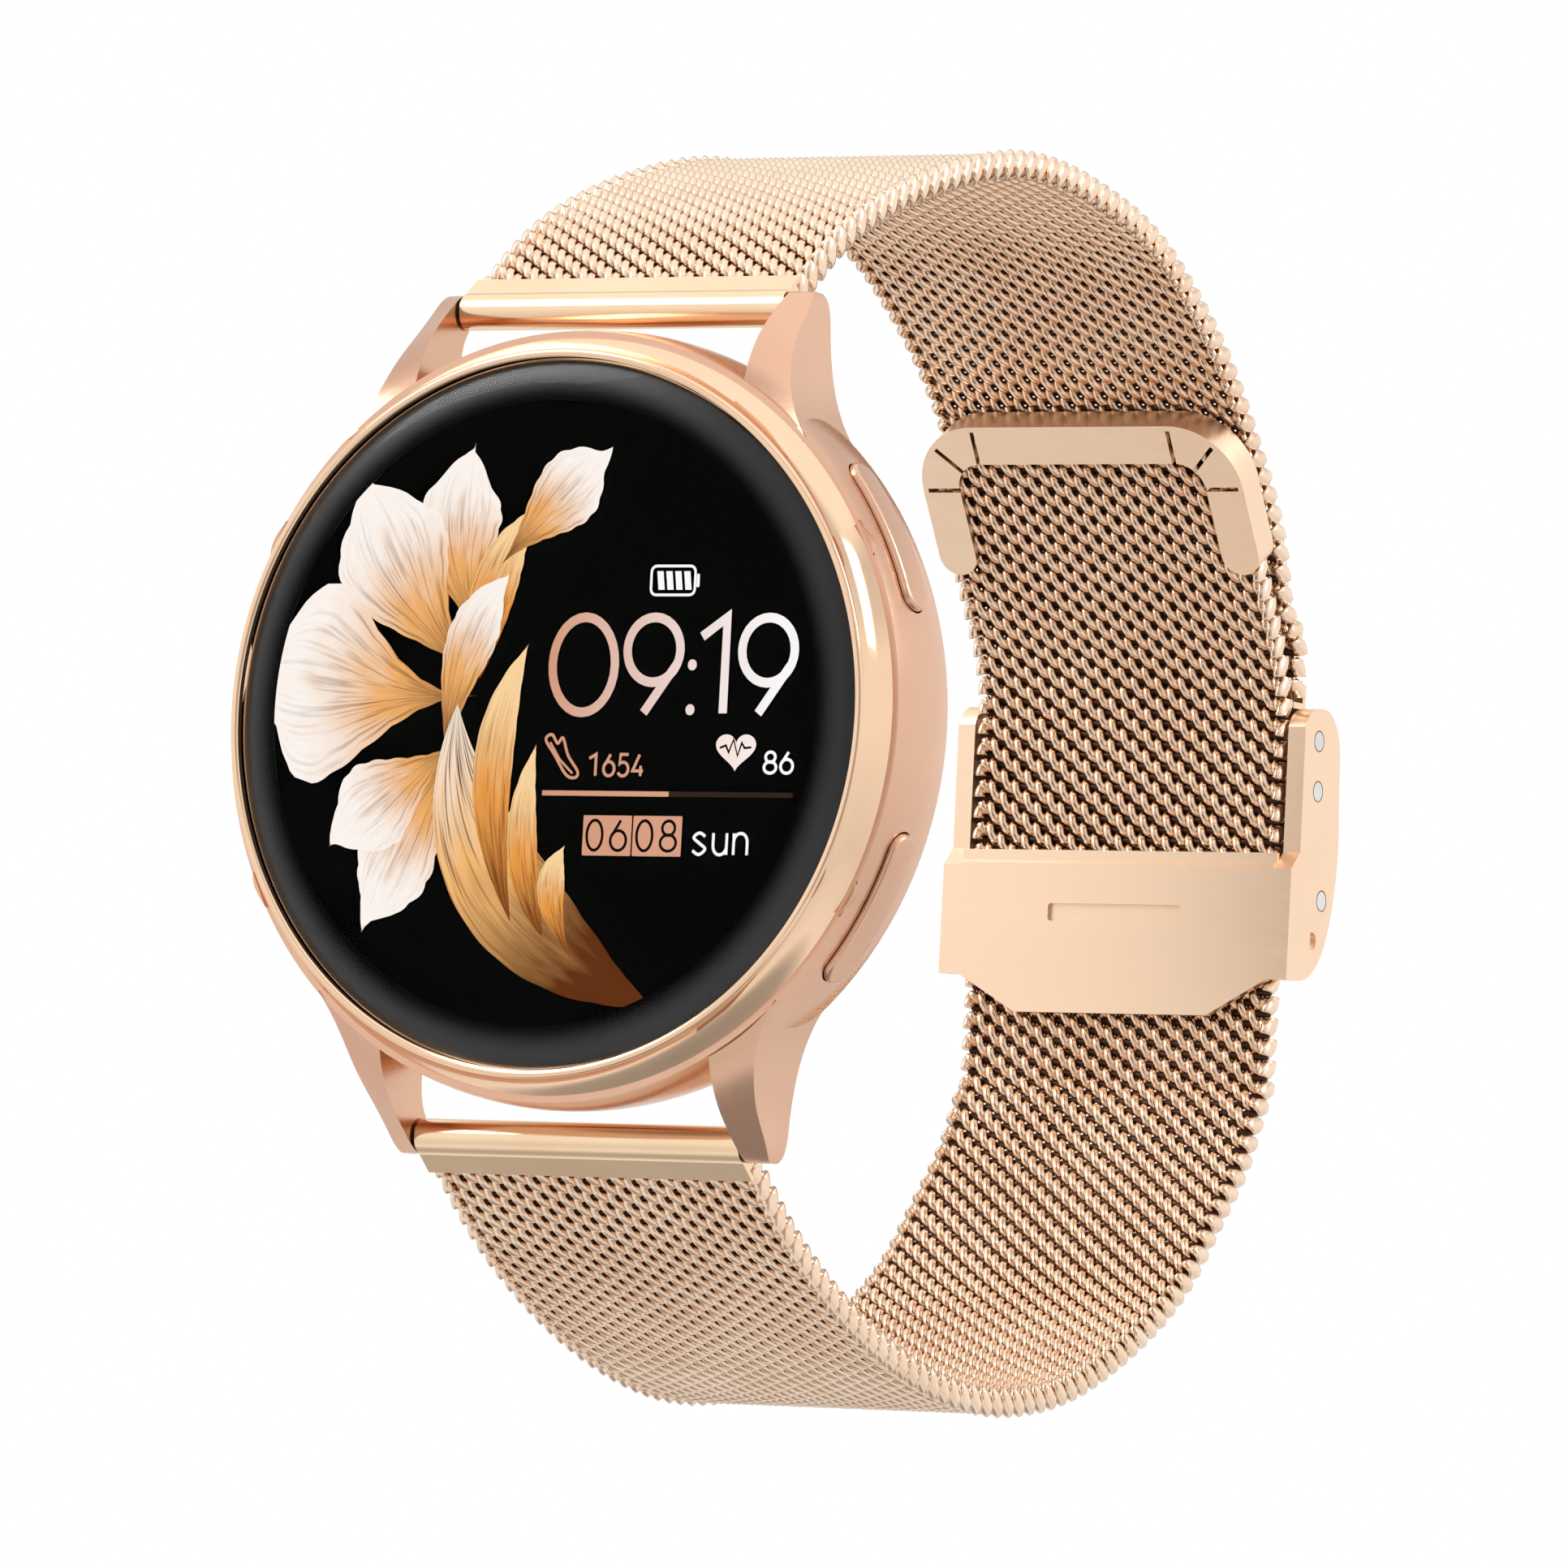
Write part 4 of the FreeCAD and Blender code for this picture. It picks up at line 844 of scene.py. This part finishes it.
def make_camera():
    """Camera on the buttons' side of the dial; gives back the direction from the dial to it."""
    away = Vector((math.sin(CAM_TURN) * math.cos(CAM_RISE), -math.cos(CAM_TURN) * math.cos(CAM_RISE),
                   math.sin(CAM_RISE)))
    level = Vector((math.cos(CAM_TURN), math.sin(CAM_TURN), 0))
    rise = away.cross(level)
    right = level * math.cos(CAM_ROLL) + rise * math.sin(CAM_ROLL)
    up = rise * math.cos(CAM_ROLL) - level * math.sin(CAM_ROLL)
    place = CAM_AIM + away * CAM_DISTANCE + right * CAM_RIGHT + up * CAM_UP
    turn = Matrix((right, up, away)).transposed().to_4x4()
    data = bpy.data.cameras.new("camera")
    data.lens = CAM_LENS
    data.sensor_width = CAM_SENSOR
    data.clip_start = 0.01
    camera = bpy.data.objects.new("camera", data)
    camera.matrix_world = Matrix.Translation(place) @ turn
    bpy.context.scene.collection.objects.link(camera)
    bpy.context.scene.camera = camera
    return away


FLOOR_HALF = 1.2
FLOOR_STEPS = 24


def make_floor():
    """Pale floor just under the swung strap's reach, clear from below, so that it never hides the part."""
    swing = next(joint for joint in frame["joints"] if joint["name"] == "lower_strap_swing")
    pivot = Vector(swing["pos_m"])
    low = pivot.z - max((vertex.co - pivot).length for vertex in nodes["lower_strap_mesh"].data.vertices)
    places = [-FLOOR_HALF + 2 * FLOOR_HALF * i / FLOOR_STEPS for i in range(FLOOR_STEPS + 1)]
    verts = [Vector((x, y, low)) for y in places for x in places]
    faces = []
    for j in range(FLOOR_STEPS):
        for i in range(FLOOR_STEPS):
            a = j * (FLOOR_STEPS + 1) + i
            faces.append((a, a + 1, a + FLOOR_STEPS + 2, a + FLOOR_STEPS + 1))
    material, tree, shader = base_material("floor_pale")
    shader.inputs["Base Color"].default_value = (0.86, 0.86, 0.86, 1)
    shader.inputs["Roughness"].default_value = 0.7
    facing = add(tree, "ShaderNodeNewGeometry")
    clear = add(tree, "ShaderNodeBsdfTransparent")
    mix = add(tree, "ShaderNodeMixShader")
    tree.links.new(facing.outputs["Backfacing"], mix.inputs[0])
    tree.links.new(shader.outputs["BSDF"], mix.inputs[1])
    tree.links.new(clear.outputs["BSDF"], mix.inputs[2])
    tree.links.new(mix.outputs["Shader"], tree.nodes["Material Output"].inputs["Surface"])
    floor = new_object("floor", verts, faces, [material], False)
    floor.visible_glossy = False


def dark_card(tree, coords, direction, radius, softness, level):
    """Factor that falls to level inside a round card seen in one direction; angles in degrees."""
    facing = add(tree, "ShaderNodeVectorMath", operation="DOT_PRODUCT")
    tree.links.new(coords.outputs["Generated"], facing.inputs[0])
    facing.inputs[1].default_value = direction
    spread = add(tree, "ShaderNodeMapRange")
    spread.interpolation_type = "SMOOTHSTEP"
    spread.inputs["From Min"].default_value = math.cos(math.radians(radius + softness))
    spread.inputs["From Max"].default_value = math.cos(math.radians(radius))
    spread.inputs["To Min"].default_value = 1.0
    spread.inputs["To Max"].default_value = level
    tree.links.new(facing.outputs["Value"], spread.inputs["Value"])
    return spread.outputs["Result"]


# Brightness of the surround by height, from straight below (0) over level (0.5) to straight above (1)
SURROUND = ((0.0, 0.35), (0.07, 0.45), (0.13, 0.95), (0.28, 0.80), (0.43, 0.92), (0.52, 1.0), (0.66, 1.0),
            (0.73, 0.80), (0.82, 0.72), (0.89, 1.15), (1.0, 1.15))


SURROUND_TINT = (1.0, 0.985, 0.965)
CARD_RADIUS, CARD_SOFT, CARD_LEVEL = 20, 12, 0.50
# Soft lamps: name, place and size in metres, and power in watts
LAMPS = (("key", (-0.5, -0.5, 0.55), 0.4, 3.0), ("rim", (0.6, 0.2, 0.4), 0.3, 1.5))


def make_light(away):
    """White studio surround with a grey card in front of the dial, and two soft lamps."""
    world = bpy.data.worlds.new("studio")
    bpy.context.scene.world = world
    world.use_nodes = True
    tree = world.node_tree
    links = tree.links
    background = tree.nodes["Background"]
    coords = add(tree, "ShaderNodeTexCoord")
    parts = add(tree, "ShaderNodeSeparateXYZ")
    links.new(coords.outputs["Generated"], parts.inputs["Vector"])
    height = add(tree, "ShaderNodeMapRange")
    height.inputs["From Min"].default_value = -1.0
    height.inputs["From Max"].default_value = 1.0
    links.new(parts.outputs["Z"], height.inputs["Value"])
    ramp = add(tree, "ShaderNodeValToRGB")
    stops = ramp.color_ramp.elements
    stops.remove(stops[1])
    stops[0].position = SURROUND[0][0]
    for position, _ in SURROUND[1:]:
        stops.new(position)
    for stop, (_, grey) in zip(stops, SURROUND):
        stop.color = (*(grey * part for part in SURROUND_TINT), 1)
    links.new(height.outputs["Result"], ramp.inputs["Fac"])
    card = dark_card(tree, coords, away, CARD_RADIUS, CARD_SOFT, CARD_LEVEL)
    shade = add(tree, "ShaderNodeVectorMath", operation="SCALE")
    links.new(ramp.outputs["Color"], shade.inputs[0])
    links.new(card, shade.inputs["Scale"])
    path = add(tree, "ShaderNodeLightPath")
    pick = add(tree, "ShaderNodeMix", data_type="RGBA")
    pick.inputs[7].default_value = (1, 1, 1, 1)
    links.new(path.outputs["Is Camera Ray"], pick.inputs[0])
    links.new(shade.outputs["Vector"], pick.inputs[6])
    links.new(pick.outputs[2], background.inputs["Color"])
    for name, place, size, power in LAMPS:
        lamp = bpy.data.lights.new(name, "AREA")
        lamp.size = size
        lamp.energy = power
        holder = bpy.data.objects.new(name, lamp)
        holder.location = place
        holder.rotation_euler = (-Vector(place)).to_track_quat("-Z", "Y").to_euler()
        bpy.context.scene.collection.objects.link(holder)
    bpy.context.scene.view_settings.view_transform = "Standard"


away = make_camera()
make_light(away)
make_floor()
paint_cad_nodes()
make_readings()
for index, petal in enumerate(PETALS):
    make_petal(index, *petal)
make_glass()
make_border()
make_bezel()
make_straps()
